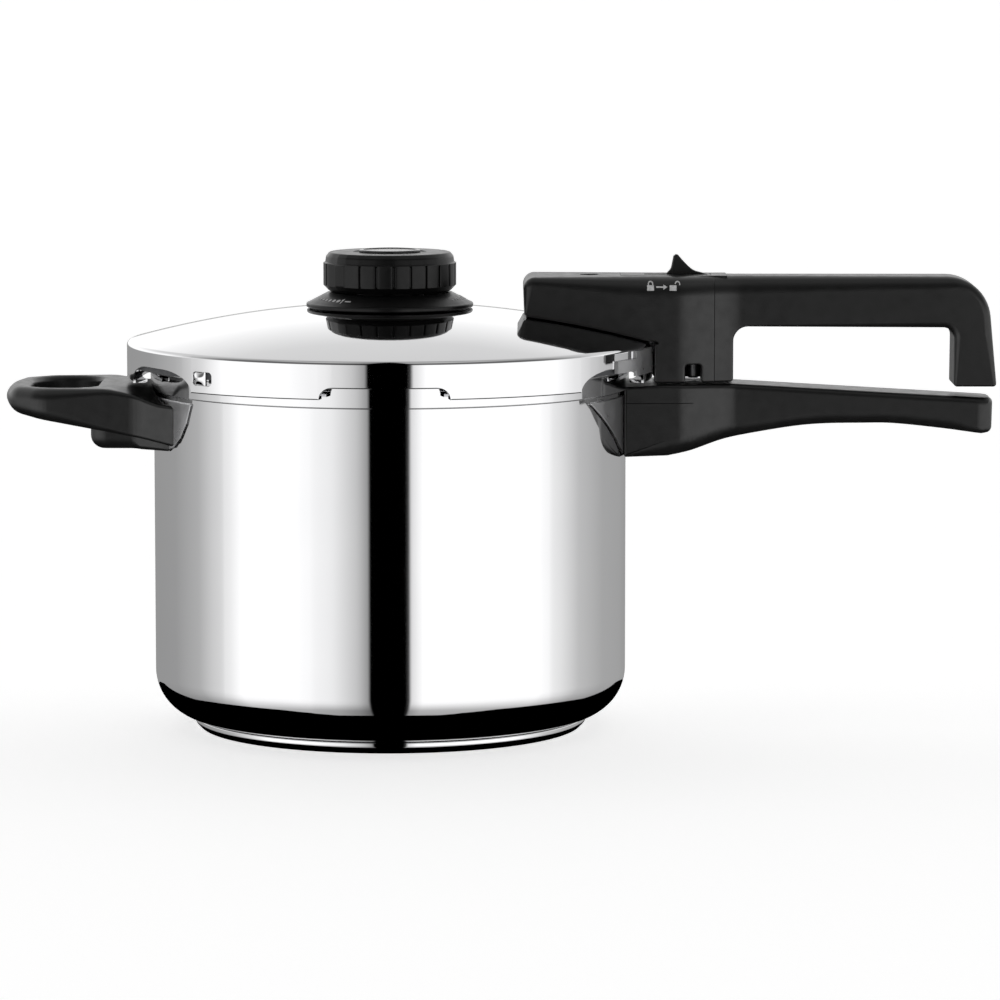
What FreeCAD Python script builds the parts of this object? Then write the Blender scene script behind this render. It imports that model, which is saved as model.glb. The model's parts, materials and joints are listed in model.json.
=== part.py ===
"""Stovetop pressure cooker: pot, bayonet lid, pressure regulator, indicator and handle lock.

Millimetres, +Z up. The origin is on the pot's axis in the plane that rests on the stove.
+X runs out along the long handles.
"""
import FreeCAD, Part
import math
import os
import re
import Sketcher

# ---------------------------------------------------------------- driving dimensions
SIZES = {
    # pot
    "pot_inner_r": 110.0,
    "pot_wall": 1.0,
    "pot_floor_z": 5.5,
    "pot_bottom_round": 22.5,
    "pot_step_z": 161.0,
    "pot_step": 1.5,
    "collar_height": 9.0,
    "rim_thickness": 2.0,
    "rim_width": 2.5,
    "pot_lug_reach": 4.5,
    "pot_lug_degrees": 26.0,
    "lug_count": 6,
    # base
    "base_r": 92.5,
    "base_draft": 3.0,
    "base_cap_wall": 0.8,
    # lid
    "rim_to_skirt": 7.3,
    "lid_wall": 1.2,
    "skirt_drop": 4.5,
    "corner_radius": 2.0,
    "dome_radius": 464.0,
    "skirt_height": 15.74,
    "flat_r": 20.0,
    "lid_lug_width": 5.8,
    "lid_lug_thickness": 1.4,
    "arch_degrees": 28.0,
    "arch_rise": 5.5,
    "arch_round": 4.0,
    "window_angle": 42.6,
    "window_width": 12.3,
    "window_height": 6.4,
    "window_above_skirt": 3.7,
    # sealing ring
    "seal_width": 8.9,
    "seal_height": 6.0,
    "seal_leg": 2.2,
    "seal_gap": 0.1,
    # regulator
    "shank_r": 8.0,
    "stem_inlet_r": 3.0,
    "stem_bore_r": 6.5,
    "stem_tube_r": 10.1,
    "stem_flange_r": 14.0,
    "stem_flange_height": 2.0,
    "stem_tube_height": 11.6,
    "nut_height": 4.2,
    "nut_corner_r": 15.0,
    "gasket_height": 1.2,
    "screen_wall": 0.8,
    "screen_depth": 3.6,
    "screen_hole_r": 0.9,
    "dial_r": 39.2,
    "dial_neck_r": 29.3,
    "dial_web": 2.3,
    "dial_height": 6.3,
    "knob_r": 31.2,
    "knob_height": 18.1,
    "knob_gap": 0.8,
    "knob_wall": 2.5,
    "knob_hub_r": 16.0,
    "knob_groove_count": 24,
    "knob_groove_r": 1.7,
    "badge_r": 14.3,
    "badge_height": 1.95,
    "clip_width": 2.3,
    "clip_height": 0.8,
    "spring_wire_r": 0.5,
    "spring_mean_r": 4.2,
    "spring_length": 7.2,
    "plunger_flange_r": 6.0,
    "plunger_stem_r": 2.2,
    "adjuster_height": 4.0,
    "adjuster_key": 6.0,
    "adjuster_key_height": 6.0,
    "adjuster_feed": 2.0,
    # indicator and safety valve
    "indicator_inset": 29.7,
    "indicator_hole_r": 4.5,
    "indicator_pin_r": 2.25,
    "indicator_cap_r": 3.8,
    "indicator_travel": 6.5,
    "grommet_r": 7.0,
    "safety_inset": 16.8,
    "safety_shank_r": 4.0,
    "safety_body_r": 6.0,
    "safety_ball_r": 2.2,
    "safety_bore_r": 2.6,
    # lid handle
    "grip_above_dome": 14.2,
    "grip_front_inset": 62.5,
    "grip_length": 123.6,
    "grip_depth": 24.1,
    "grip_half_width": 14.5,
    "root_half_width": 22.0,
    "waist_length": 24.0,
    "block_beyond_bolt": 18.2,
    "block_above_pot_grip": 1.0,
    "tail_length": 20.2,
    "tail_drop": 27.8,
    "handle_to_lid": 0.4,
    "bracket_sheet": 1.5,
    "bracket_half_width": 11.0,
    "bracket_height": 9.45,
    "strap_below_corner": 3.1,
    "strap_degrees": 64.0,
    "strap_height": 5.6,
    "strap_sheet": 1.4,
    "cheek_degrees": 46.0,
    "cheek_rise": 3.3,
    "cheek_drop": 2.6,
    "handle_screw_spacing": 13.0,
    # lock
    "bolt_beyond_skirt": 19.3,
    "bolt_r": 3.0,
    "bolt_recess": 0.8,
    "bolt_travel": 7.0,
    "slider_travel": 10.0,
    "slider_length": 24.0,
    "slider_half_width": 8.0,
    "slider_height": 3.6,
    "fin_half_width": 2.3,
    "fin_height": 9.4,
    "cam_thickness": 2.0,
    "follower_r": 1.2,
    "cover_height": 2.0,
    "cover_half_width": 10.5,
    "detent_sheet": 0.5,
    # pot handles
    "pot_grip_above_step": 2.2,
    "pot_grip_length": 140.5,
    "pot_grip_half_width": 14.0,
    "pot_root_half_width": 23.5,
    "pot_root_depth": 33.6,
    "pot_tongue_length": 23.5,
    "pot_screw_reach": 16.0,
    "pot_guard_half_top": 62.0,
    "pot_guard_half_bottom": 27.0,
    "helper_length": 67.5,
    "helper_half_width": 40.0,
    "helper_above_step": 2.0,
    "helper_depth": 16.0,
    "helper_root_depth": 28.8,
    "helper_root_length": 27.0,
    "helper_root_half": 38.0,
    "helper_root_flare": 22.0,
    "helper_tongue_length": 16.0,
    "helper_screw_reach": 10.0,
    "helper_guard_half_top": 66.0,
    "helper_guard_half_bottom": 30.0,
    "finger_hole_half": 31.0,
    "finger_hole_round": 9.0,
    "guard_sheet": 1.5,
    "guard_below_step": 2.5,
    "tongue_height": 3.0,
    "tongue_half_width": 9.0,
    "tongue_below_step": 15.0,
    "screw_r": 2.5,
    "screw_head_r": 4.5,
    "screw_head_height": 2.8,
    "bush_wall": 1.8,
    "bush_depth": 5.0,
    # clearances
    "running_gap": 0.05,
    "sliding_gap": 0.3,
    "fitting_gap": 0.1,
}

# ---------------------------------------------------------------- sizes that follow from them
DERIVED = {
    "pot_r": "pot_inner_r + pot_wall",
    "collar_r": "pot_r + pot_step",
    "collar_inner_r": "collar_r - pot_wall",
    "rim_r": "collar_r + rim_width",
    "pot_lug_r": "rim_r + pot_lug_reach",
    "rim_z": "pot_step_z + collar_height",
    "rim_top_z": "rim_z + rim_thickness",
    "pot_gap_half": "180 / lug_count - pot_lug_degrees / 2",
    "cap_inner_r": "base_r - base_draft - base_cap_wall",
    "skirt_inner_r": "rim_r + rim_to_skirt",
    "skirt_r": "skirt_inner_r + lid_wall",
    "skirt_z": "rim_z - skirt_drop",
    "lid_lug_r": "skirt_inner_r - lid_lug_width",
    "lid_lug_top_z": "skirt_z + lid_lug_thickness",
    "arch_half": "skirt_r * sin(arch_degrees / 2)",
    "arch_top_z": "skirt_z + arch_rise",
    "corner_centre_r": "skirt_r - corner_radius",
    "centre_distance": "dome_radius - corner_radius",
    "corner_lift": "sqrt(centre_distance^2 - corner_centre_r^2)",
    "corner_z": "skirt_z + skirt_height",
    "dome_centre_z": "corner_z - corner_lift",
    "dome_top_z": "dome_centre_z + dome_radius",
    "flat_z": "dome_centre_z + sqrt(dome_radius^2 - flat_r^2)",
    "flat_under_z": "dome_centre_z + sqrt((dome_radius - lid_wall)^2 - flat_r^2)",
    "window_low_z": "skirt_z + window_above_skirt",
    "seal_z": "rim_top_z + seal_gap",
    "seal_outer_r": "skirt_inner_r - fitting_gap",
    "seal_inner_r": "seal_outer_r - seal_width",
    "lid_hole_r": "shank_r + 0.2",
    "dial_bottom_z": "flat_z",
    "flange_z": "dial_bottom_z + dial_web",
    "tube_z": "flange_z + stem_flange_height",
    "tube_top_z": "tube_z + stem_tube_height",
    "gasket_z": "flat_under_z - gasket_height",
    "nut_z": "gasket_z - nut_height",
    "shank_z": "nut_z - 1",
    "seat_z": "flat_z + 0.4",
    "plunger_flange_z": "seat_z + 1.1",
    "spring_z": "plunger_flange_z + 1.5",
    "adjuster_z": "spring_z + spring_length",
    "adjuster_top_z": "adjuster_z + adjuster_height",
    "key_top_z": "adjuster_top_z + adjuster_key_height",
    "knob_plug_z": "adjuster_top_z + adjuster_feed + sliding_gap",
    "dial_top_z": "dial_bottom_z + dial_height",
    "knob_z": "dial_top_z + knob_gap",
    "knob_top_z": "knob_z + knob_height",
    "knob_plate_z": "knob_top_z - knob_wall",
    "hub_z": "tube_z + 0.2",
    "clip_z": "tube_top_z - 1.2 - clip_height",
    "hub_shoulder_z": "clip_z - 0.2",
    "clip_r": "stem_tube_r - 0.9 + clip_width",
    "badge_z": "knob_top_z - 0.85",
    "indicator_x": "skirt_r - indicator_inset",
    "safety_x": "indicator_x - safety_inset",
    "indicator_dome_z": "dome_centre_z + sqrt(dome_radius^2 - indicator_x^2)",
    "safety_dome_z": "dome_centre_z + sqrt(dome_radius^2 - safety_x^2)",
    "grommet_z": "indicator_dome_z - 4",
    "indicator_head_z": "grommet_z - indicator_travel - 1.7",
    "grip_top_z": "dome_top_z + grip_above_dome",
    "grip_under_z": "grip_top_z - grip_depth",
    "grip_front_x": "skirt_r - grip_front_inset",
    "indicator_top_z": "grip_top_z - 5.7",
    "bolt_x": "skirt_r + bolt_beyond_skirt",
    "block_end_x": "bolt_x + block_beyond_bolt",
    "grip_end_x": "block_end_x + grip_length",
    "pot_grip_top_z": "pot_step_z + pot_grip_above_step",
    "block_bottom_z": "pot_grip_top_z + block_above_pot_grip",
    "tail_x": "grip_end_x - tail_length",
    "tail_bottom_z": "grip_under_z - tail_drop",
    "bolt_tip_z": "block_bottom_z + bolt_recess",
    "lid_clear_r": "skirt_r + 2.5",
    "cavity_top_z": "bracket_top_z + 1.5",
    "bracket_top_z": "safety_dome_z + bracket_height",
    "bracket_front_x": "indicator_x - 9.5",
    "bracket_back_x": "strap_outer_r - 0.6",
    "strap_inner_r": "skirt_r + fitting_gap",
    "strap_outer_r": "strap_inner_r + strap_sheet",
    "strap_z": "corner_z - strap_below_corner - strap_height",
    "cavity_front_x": "safety_x - safety_body_r - 2",
    "handle_screw_x": "indicator_x + 19.2",
    "lock_front_x": "bolt_x - 34.5",
    "lock_back_x": "block_end_x - 2.8",
    "lock_floor_z": "bolt_notch_top_z + 4",
    "bolt_notch_top_z": "block_bottom_z + 8",
    "cover_z": "grip_top_z - cover_height",
    "slider_top_z": "cover_z - 0.2",
    "slider_z": "slider_top_z - slider_height",
    "slider_back_x": "bolt_x + 9.4",
    "slider_front_x": "slider_back_x - slider_length",
    "fin_front_x": "bolt_x - 12.9",
    "fin_back_x": "bolt_x + 7.8",
    "slot_front_x": "fin_front_x - slider_travel - sliding_gap",
    "slot_back_x": "fin_back_x + sliding_gap",
    "handle_screw_r": "screw_r * 0.6",
    "follower_z": "slider_z - 7.5",
    "cam_front_x": "bolt_x - 3.4",
    "cam_back_x": "bolt_x + slider_travel + 3.4",
    "cam_z": "follower_z - bolt_travel - 3.4",
    "bolt_head_z": "lock_floor_z + bolt_travel + 2.8",
    "bolt_head_top_z": "follower_z + 3.6",
    "guard_r": "pot_r + guard_sheet",
    "handle_wall_r": "guard_r + sliding_gap",
    "guard_top_z": "pot_step_z - guard_below_step",
    "tongue_z": "pot_step_z - tongue_below_step",
    "tongue_top_z": "tongue_z + tongue_height",
    "pot_tongue_x": "guard_r + pot_tongue_length",
    "pot_screw_x": "guard_r + pot_screw_reach",
    "pot_grip_end_x": "bolt_x + pot_grip_length",
    "pot_root_bottom_z": "pot_grip_top_z - pot_root_depth",
    "pot_screw_head_z": "pot_root_bottom_z + 4",
    "helper_tongue_x": "guard_r + helper_tongue_length",
    "helper_screw_x": "guard_r + helper_screw_reach",
    "helper_reach": "guard_r + helper_length",
    "helper_root_x": "guard_r + helper_root_length",
    "helper_top_z": "pot_step_z + helper_above_step",
    "helper_under_z": "helper_top_z - helper_depth",
    "helper_root_bottom_z": "helper_top_z - helper_root_depth",
    "helper_screw_head_z": "helper_root_bottom_z + 3",
    "bush_bore_r": "bolt_r + 0.2",
    "bush_r": "bush_bore_r + bush_wall",
    "bush_z": "pot_grip_top_z - bush_depth",
}

doc = FreeCAD.newDocument("PressureCooker")
sheet = doc.addObject("Spreadsheet::Sheet", "Sizes")
for row, (alias, number) in enumerate(SIZES.items(), start=1):
    sheet.set("A%d" % row, alias.replace("_", " "))
    sheet.set("B%d" % row, str(number))
    sheet.setAlias("B%d" % row, alias)
doc.recompute()

nodes = []


def expand(text):
    """A formula in size names, written with the sheet's cells only."""
    def swap(match):
        word = match.group()
        if word in DERIVED:
            return "(" + expand(DERIVED[word]) + ")"
        if word in SIZES:
            return "Sizes." + word
        return word
    return re.sub(r"[a-z_]\w*", swap, str(text))


def value(text):
    """The number that a formula has now."""
    return float(sheet.evalExpression(expand(text)))


def bind(thing, **formulas):
    """Tie properties of an object to formulas. A double underscore stands for a dot."""
    for name, text in formulas.items():
        thing.setExpression(name.replace("__", "."), expand(text))


def node(thing, label, x="0"):
    """Register a finished sub-part under its own name, moved out along X."""
    thing.Label = label
    if x != "0":
        bind(thing, Placement__Base__x=x)
    nodes.append(thing)
    return thing


# ---------------------------------------------------------------- sketches
def new_body(name):
    return doc.addObject("PartDesign::Body", name)


def origin_part(body, role):
    return next(part for part in body.Origin.OriginFeatures if part.Role == role)


def new_sketch(body, plane, offset="0", turn="0"):
    """A sketch on an origin plane, offset along its normal, or turned about the Z axis."""
    sketch = body.newObject("Sketcher::SketchObject", "Sketch")
    sketch.AttachmentSupport = (origin_part(body, plane + "_Plane"), "")
    sketch.MapMode = "FlatFace"
    bind(sketch, AttachmentOffset__Base__z=offset)
    if turn != "0":
        turned_plane = FreeCAD.Rotation(FreeCAD.Vector(0, 1, 0), value(turn))
        sketch.AttachmentOffset = FreeCAD.Placement(FreeCAD.Vector(), turned_plane)
        bind(sketch, AttachmentOffset__Rotation__Angle=turn)
    return sketch


def tie(sketch, kind, where, text):
    """Add a dimension to a sketch and tie it to a formula."""
    index = sketch.addConstraint(Sketcher.Constraint(kind, *where, value(text)))
    sketch.setExpression("Constraints[%d]" % index, expand(text))


def arc_between(start, end, radius, bend):
    """The short arc from start to end that bends left or right."""
    chord = end - start
    side = FreeCAD.Vector(-chord.y, chord.x, 0).normalize()
    rise = math.sqrt(radius ** 2 - (chord.Length / 2) ** 2)
    centre = (start + end) * 0.5 + side * (rise if bend == "left" else -rise)
    first, last = (start, end) if bend == "left" else (end, start)
    angles = [math.atan2(point.y - centre.y, point.x - centre.x) for point in (first, last)]
    return Part.ArcOfCircle(Part.Circle(centre, FreeCAD.Vector(0, 0, 1), radius), *angles)


def draw(sketch, outline):
    """Draw a closed outline of corners (x, y) or (x, y, bend, radius of the arc that starts there)."""
    points = [FreeCAD.Vector(value(corner[0]), value(corner[1]), 0) for corner in outline]
    ends = []
    for index, corner in enumerate(outline):
        start, end = points[index], points[(index + 1) % len(points)]
        if len(corner) == 2:
            edge = sketch.addGeometry(Part.LineSegment(start, end))
        else:
            edge = sketch.addGeometry(arc_between(start, end, value(corner[3]), corner[2]))
            tie(sketch, "Radius", (edge,), corner[3])
        backwards = len(corner) > 2 and corner[2] == "right"
        ends.append(((edge, 2), (edge, 1)) if backwards else ((edge, 1), (edge, 2)))
    for index, corner in enumerate(outline):
        start = ends[index][0]
        sketch.addConstraint(Sketcher.Constraint("Coincident", *ends[index - 1][1], *start))
        tie(sketch, "DistanceX", (-1, 1, *start), corner[0])
        tie(sketch, "DistanceY", (-1, 1, *start), corner[1])
    return sketch


def draw_circle(sketch, x, y, radius):
    centre = FreeCAD.Vector(value(x), value(y), 0)
    circle = sketch.addGeometry(Part.Circle(centre, FreeCAD.Vector(0, 0, 1), value(radius)))
    tie(sketch, "Radius", (circle,), radius)
    tie(sketch, "DistanceX", (-1, 1, circle, 3), x)
    tie(sketch, "DistanceY", (-1, 1, circle, 3), y)
    return sketch


def rectangle(x0, x1, y0, y1):
    return [(x0, y0), (x1, y0), (x1, y1), (x0, y1)]


# ---------------------------------------------------------------- features
def revolve(body, outline, kind="Revolution"):
    """Turn an outline of (radius, height) corners about the body's own Z axis."""
    sketch = draw(new_sketch(body, "XZ"), outline)
    feature = body.newObject("PartDesign::" + kind, kind)
    feature.Profile = sketch
    feature.ReferenceAxis = (sketch, ["V_Axis"])
    feature.Angle = 360
    return feature


def pad(body, sketch, length, middle=False):
    feature = body.newObject("PartDesign::Pad", "Pad")
    feature.Profile = sketch
    feature.Midplane = middle
    bind(feature, Length=length)
    return feature


def pocket(body, sketch, length, middle=False, reverse=False):
    """Cut against the sketch's normal, or along it when reversed."""
    feature = body.newObject("PartDesign::Pocket", "Pocket")
    feature.Profile = sketch
    feature.Midplane = middle
    feature.Reversed = reverse
    bind(feature, Length=length)
    return feature


def drill(body, x, y, radius, top, depth):
    """A round hole straight down from a height."""
    return pocket(body, draw_circle(new_sketch(body, "XY", top), x, y, radius), depth)


def repeat_around(body, feature, count):
    pattern = body.newObject("PartDesign::PolarPattern", "PolarPattern")
    pattern.Originals = [feature]
    pattern.Axis = (origin_part(body, "Z_Axis"), [""])
    pattern.Angle = 360
    bind(pattern, Occurrences=count)
    body.Tip = pattern
    return pattern


def turned_part(label, outline, x="0"):
    """A piece made on a lathe."""
    body = new_body(label.title().replace("_", ""))
    revolve(body, outline)
    return node(body, label, x)


def combine(kind, name, first, second):
    """A Part boolean of two objects."""
    result = doc.addObject("Part::" + kind, name)
    result.Base = first
    result.Tool = second
    return result


def tube_solid(name, inner, outer, low, height):
    """A plain ring as Part primitives."""
    rings = []
    for part_name, radius in ((name + "Outer", outer), (name + "Inner", inner)):
        ring = doc.addObject("Part::Cylinder", part_name)
        bind(ring, Radius=radius, Height=height, Placement__Base__z=low)
        rings.append(ring)
    return combine("Cut", name, *rings)


def lid_surface(gap):
    """The lid's outer line from the axis to the end of its corner, moved out by a gap."""
    share = "(dome_radius + %s) / centre_distance" % gap
    return [
        ("0", "flat_z + %s" % gap),
        ("flat_r", "dome_centre_z + sqrt((dome_radius + %s)^2 - flat_r^2)" % gap, "right",
         "dome_radius + %s" % gap),
        ("corner_centre_r * " + share, "dome_centre_z + corner_lift * " + share, "right",
         "corner_radius + %s" % gap),
        ("skirt_r + %s" % gap, "corner_z"),
    ]


def reversed_outline(outline):
    """The same line walked the other way."""
    flip = {"left": "right", "right": "left"}
    result = []
    for index in range(len(outline) - 1, -1, -1):
        x, y = outline[index][:2]
        before = outline[index - 1] if index else ()
        bend = (flip[before[2]], before[3]) if len(before) > 2 else ()
        result.append((x, y, *bend))
    return result


# ---------------------------------------------------------------- pot
def make_pot_body():
    body = new_body("PotBody")
    revolve(body, [
        ("0", "pot_floor_z"),
        ("pot_r - pot_bottom_round", "pot_floor_z", "left", "pot_bottom_round"),
        ("pot_r", "pot_floor_z + pot_bottom_round"),
        ("pot_r", "pot_step_z - pot_step"),
        ("collar_r", "pot_step_z"),
        ("collar_r", "rim_z"),
        ("pot_lug_r", "rim_z"),
        ("pot_lug_r", "rim_top_z"),
        ("collar_inner_r", "rim_top_z"),
        ("collar_inner_r", "pot_step_z + 0.4"),
        ("pot_inner_r", "pot_step_z + 0.4 - pot_step"),
        ("pot_inner_r", "pot_floor_z + pot_bottom_round", "right", "pot_bottom_round - pot_wall"),
        ("pot_r - pot_bottom_round", "pot_floor_z + pot_wall"),
        ("0", "pot_floor_z + pot_wall"),
    ])
    low, high = "180 / lug_count - pot_gap_half", "180 / lug_count + pot_gap_half"
    outside = "(pot_lug_r + 3)"
    gap = draw(new_sketch(body, "XY", "rim_top_z + 1"), [
        ("rim_r * cos(%s)" % low, "rim_r * sin(%s)" % low),
        (outside + " * cos(%s)" % low, outside + " * sin(%s)" % low, "left", outside),
        (outside + " * cos(%s)" % high, outside + " * sin(%s)" % high),
        ("rim_r * cos(%s)" % high, "rim_r * sin(%s)" % high, "right", "rim_r"),
    ])
    repeat_around(body, pocket(body, gap, "rim_thickness + 2"), "lug_count")
    return node(body, "pot_body")


def make_base():
    core = doc.addObject("Part::Cylinder", "BaseCore")
    bind(core, Radius="cap_inner_r", Height="pot_floor_z - base_cap_wall",
         Placement__Base__z="base_cap_wall")
    node(core, "base_core")
    turned_part("base_cap", [
        ("0", "0"),
        ("base_r - base_draft", "0"),
        ("base_r", "base_draft"),
        ("base_r", "pot_floor_z"),
        ("cap_inner_r", "pot_floor_z"),
        ("cap_inner_r", "base_cap_wall"),
        ("0", "base_cap_wall"),
    ])


def guard_plate(label, side, tongue_x, screw_x, half_top, half_bottom, low, high):
    """A flame guard that hugs the pot wall, with a tongue that the handle is screwed to."""
    name = label.title().replace("_", "")
    shield = new_body(name + "Shield")
    start = "pot_inner_r / 2" if side > 0 else "0 - guard_r - 1"
    outline = [("-" + half_top, high), ("-" + half_bottom, low), (half_bottom, low), (half_top, high)]
    pad(shield, draw(new_sketch(shield, "YZ", start), outline), "guard_r + 1 - pot_inner_r / 2")
    skin = combine("Common", name + "Skin", shield,
                   tube_solid(name + "Ring", "pot_r", "guard_r", low, "%s - %s" % (high, low)))
    tongue = new_body(name + "Tongue")
    inner, outer = ("pot_r + 0.2", tongue_x) if side > 0 else ("-(%s)" % tongue_x, "-(pot_r + 0.2)")
    strip = rectangle(inner, outer, "-tongue_half_width", "tongue_half_width")
    pad(tongue, draw(new_sketch(tongue, "XY", "tongue_z"), strip), "tongue_height")
    drill(tongue, screw_x if side > 0 else "-(%s)" % screw_x, "0", "screw_r", "tongue_top_z + 1",
          "tongue_height + 2")
    trimmed = combine("Cut", name + "TongueTrim", tongue, pot_plug(name))
    return node(combine("Fuse", name + "Fused", skin, trimmed), label)


def pot_plug(name):
    """The solid cylinder that the pot's wall encloses."""
    plug = doc.addObject("Part::Cylinder", name + "Plug")
    bind(plug, Radius="pot_r", Height="rim_top_z")
    return plug


def handle_screw(label, x, head_z):
    """A pan-head screw from below, up through the tongue of a flame guard."""
    turned_part(label, [
        ("0", head_z),
        ("screw_head_r", head_z),
        ("screw_head_r", "%s + screw_head_height" % head_z),
        ("screw_r", "%s + screw_head_height" % head_z),
        ("screw_r", "tongue_top_z"),
        ("0", "tongue_top_z"),
    ], x)


def screw_cuts(body, x, head_z):
    """The screw's clearance hole and the recess for its head."""
    shank_top = "tongue_z + tongue_height / 3"
    drill(body, x, "0", "screw_r + fitting_gap", shank_top, "%s - %s" % (shank_top, head_z))
    drill(body, x, "0", "screw_head_r + sliding_gap", "%s + screw_head_height" % head_z, "pot_root_depth")


def make_pot_handle():
    body = new_body("PotHandle")
    side = [
        ("pot_inner_r - 10", "pot_grip_top_z - 1"),
        ("pot_inner_r - 10", "pot_root_bottom_z"),
        ("bolt_x - 12.6", "pot_root_bottom_z"),
        ("bolt_x - 0.8", "pot_root_bottom_z + 2.8"),
        ("bolt_x + 18.1", "pot_root_bottom_z + 8.1"),
        ("bolt_x + 51", "pot_grip_top_z - 19.9"),
        ("bolt_x + 79.3", "pot_grip_top_z - 18.9"),
        ("pot_grip_end_x - 42.3", "pot_grip_top_z - 19.4"),
        ("pot_grip_end_x - 4.6", "pot_grip_top_z - 23.7"),
        ("pot_grip_end_x", "pot_grip_top_z - 20.8"),
        ("pot_grip_end_x", "pot_grip_top_z - 9"),
        ("pot_grip_end_x - 1.9", "pot_grip_top_z - 6.6"),
        ("bolt_x + 17.9", "pot_grip_top_z"),
        ("bolt_x - 15", "pot_grip_top_z"),
    ]
    pad(body, draw(new_sketch(body, "XZ"), side), "2 * pot_root_half_width", middle=True)
    trim_plan(body, "pot_root_half_width", "pot_grip_half_width", "bolt_x - 6", "pot_grip_end_x",
              "pot_inner_r - 10")
    wall = draw_circle(new_sketch(body, "XY", "pot_grip_top_z + 1"), "0", "0", "handle_wall_r")
    pocket(body, wall, "pot_root_depth + 2")
    slot = rectangle("pot_inner_r", "pot_tongue_x + sliding_gap", "-(tongue_half_width + sliding_gap)",
                     "tongue_half_width + sliding_gap")
    pocket(body, draw(new_sketch(body, "XY", "tongue_top_z + sliding_gap"), slot),
           "tongue_height + 2 * sliding_gap")
    screw_cuts(body, "pot_screw_x", "pot_screw_head_z")
    drill(body, "bolt_x", "0", "bush_r", "pot_grip_top_z + 1", "bush_depth + 1")
    drill(body, "bolt_x", "0", "bush_bore_r", "pot_grip_top_z + 1", "bush_depth + 3.5")
    return node(body, "pot_handle")


def trim_plan(body, wide, narrow, waist_x, end_x, start_x):
    """Cut a handle's blank to its plan: a wide root, a waist, and a grip with cut end corners."""
    for sign in ("", "-"):
        def edge(text):
            return "%s(%s)" % (sign, text)
        outline = [
            (start_x, edge(wide)),
            (waist_x, edge(wide)),
            ("%s + waist_length" % waist_x, edge(narrow)),
            ("%s - 6" % end_x, edge(narrow)),
            (end_x, edge("%s - 6" % narrow)),
            ("%s + 5" % end_x, edge("%s - 6" % narrow)),
            ("%s + 5" % end_x, edge("%s + 5" % wide)),
            (start_x, edge("%s + 5" % wide)),
        ]
        pocket(body, draw(new_sketch(body, "XY", "grip_top_z + 1"), outline), "grip_top_z")


def make_strike_bush():
    return node(tube_solid("StrikeBush", "bush_bore_r", "bush_r", "bush_z", "bush_depth"),
                "strike_bush", "bolt_x")


def make_helper_handle():
    body = new_body("HelperHandle")
    side = [
        ("-(pot_inner_r - 25)", "helper_top_z"),
        ("-(helper_reach - 6)", "helper_top_z"),
        ("-helper_reach", "helper_top_z - 5"),
        ("-helper_reach", "helper_top_z - 10"),
        ("-(helper_reach - 7)", "helper_under_z + 1.5"),
        ("-helper_root_x", "helper_under_z - 2.5"),
        ("-(helper_root_x - 1.5)", "helper_root_bottom_z + 1.5"),
        ("-(pot_inner_r - 25)", "helper_root_bottom_z"),
    ]
    pad(body, draw(new_sketch(body, "XZ"), side), "4 * helper_half_width", middle=True)
    for sign in ("", "-"):
        outline = [
            ("-(pot_inner_r - 30)", sign + "(helper_half_width + helper_root_flare)"),
            ("-(guard_r + 5)", sign + "helper_half_width"),
            ("-(helper_reach - 20)", sign + "helper_half_width"),
            ("-(helper_reach - 6)", sign + "(helper_half_width - 10)"),
            ("-helper_reach", sign + "(helper_half_width - 28)"),
            ("-(helper_reach + 5)", sign + "(helper_half_width - 28)"),
            ("-(helper_reach + 5)", sign + "(3 * helper_half_width)"),
            ("-(pot_inner_r - 30)", sign + "(3 * helper_half_width)"),
        ]
        pocket(body, draw(new_sketch(body, "XY", "helper_top_z + 1"), outline), "helper_root_depth + 2")
    for sign in ("", "-"):
        outline = [
            ("-(helper_reach + 5)", sign + "helper_root_half"),
            ("-(guard_r + 6)", sign + "helper_root_half"),
            ("-(pot_inner_r - 40)", sign + "(helper_root_half + helper_root_flare)"),
            ("-(pot_inner_r - 40)", sign + "(3 * helper_half_width)"),
            ("-(helper_reach + 5)", sign + "(3 * helper_half_width)"),
        ]
        pocket(body, draw(new_sketch(body, "XY", "helper_under_z - 2.5"), outline), "helper_root_depth")
    near_x, far_x = "helper_root_x - 2.5", "helper_reach - 11.5"
    near_end, far_end = "finger_hole_half - finger_hole_round", "finger_hole_half - 16"
    hole = [
        ("-(%s)" % near_x, near_end),
        ("-(%s)" % near_x, "-(%s)" % near_end, "right", "finger_hole_round"),
        ("-(%s + finger_hole_round)" % near_x, "-finger_hole_half"),
        ("-(%s - 15.5)" % far_x, "-finger_hole_half"),
        ("-(%s)" % far_x, "-(%s)" % far_end),
        ("-(%s)" % far_x, far_end),
        ("-(%s - 15.5)" % far_x, "finger_hole_half"),
        ("-(%s + finger_hole_round)" % near_x, "finger_hole_half", "right", "finger_hole_round"),
    ]
    pocket(body, draw(new_sketch(body, "XY", "helper_top_z + 1"), hole), "helper_root_depth + 2")
    wall = draw_circle(new_sketch(body, "XY", "helper_top_z + 1"), "0", "0", "handle_wall_r")
    pocket(body, wall, "helper_root_depth + 2")
    slot = rectangle("-(helper_tongue_x + sliding_gap)", "-pot_inner_r",
                     "-(tongue_half_width + sliding_gap)", "tongue_half_width + sliding_gap")
    pocket(body, draw(new_sketch(body, "XY", "tongue_top_z + sliding_gap"), slot),
           "tongue_height + 2 * sliding_gap")
    screw_cuts(body, "-helper_screw_x", "helper_screw_head_z")
    return node(body, "helper_handle")


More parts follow.
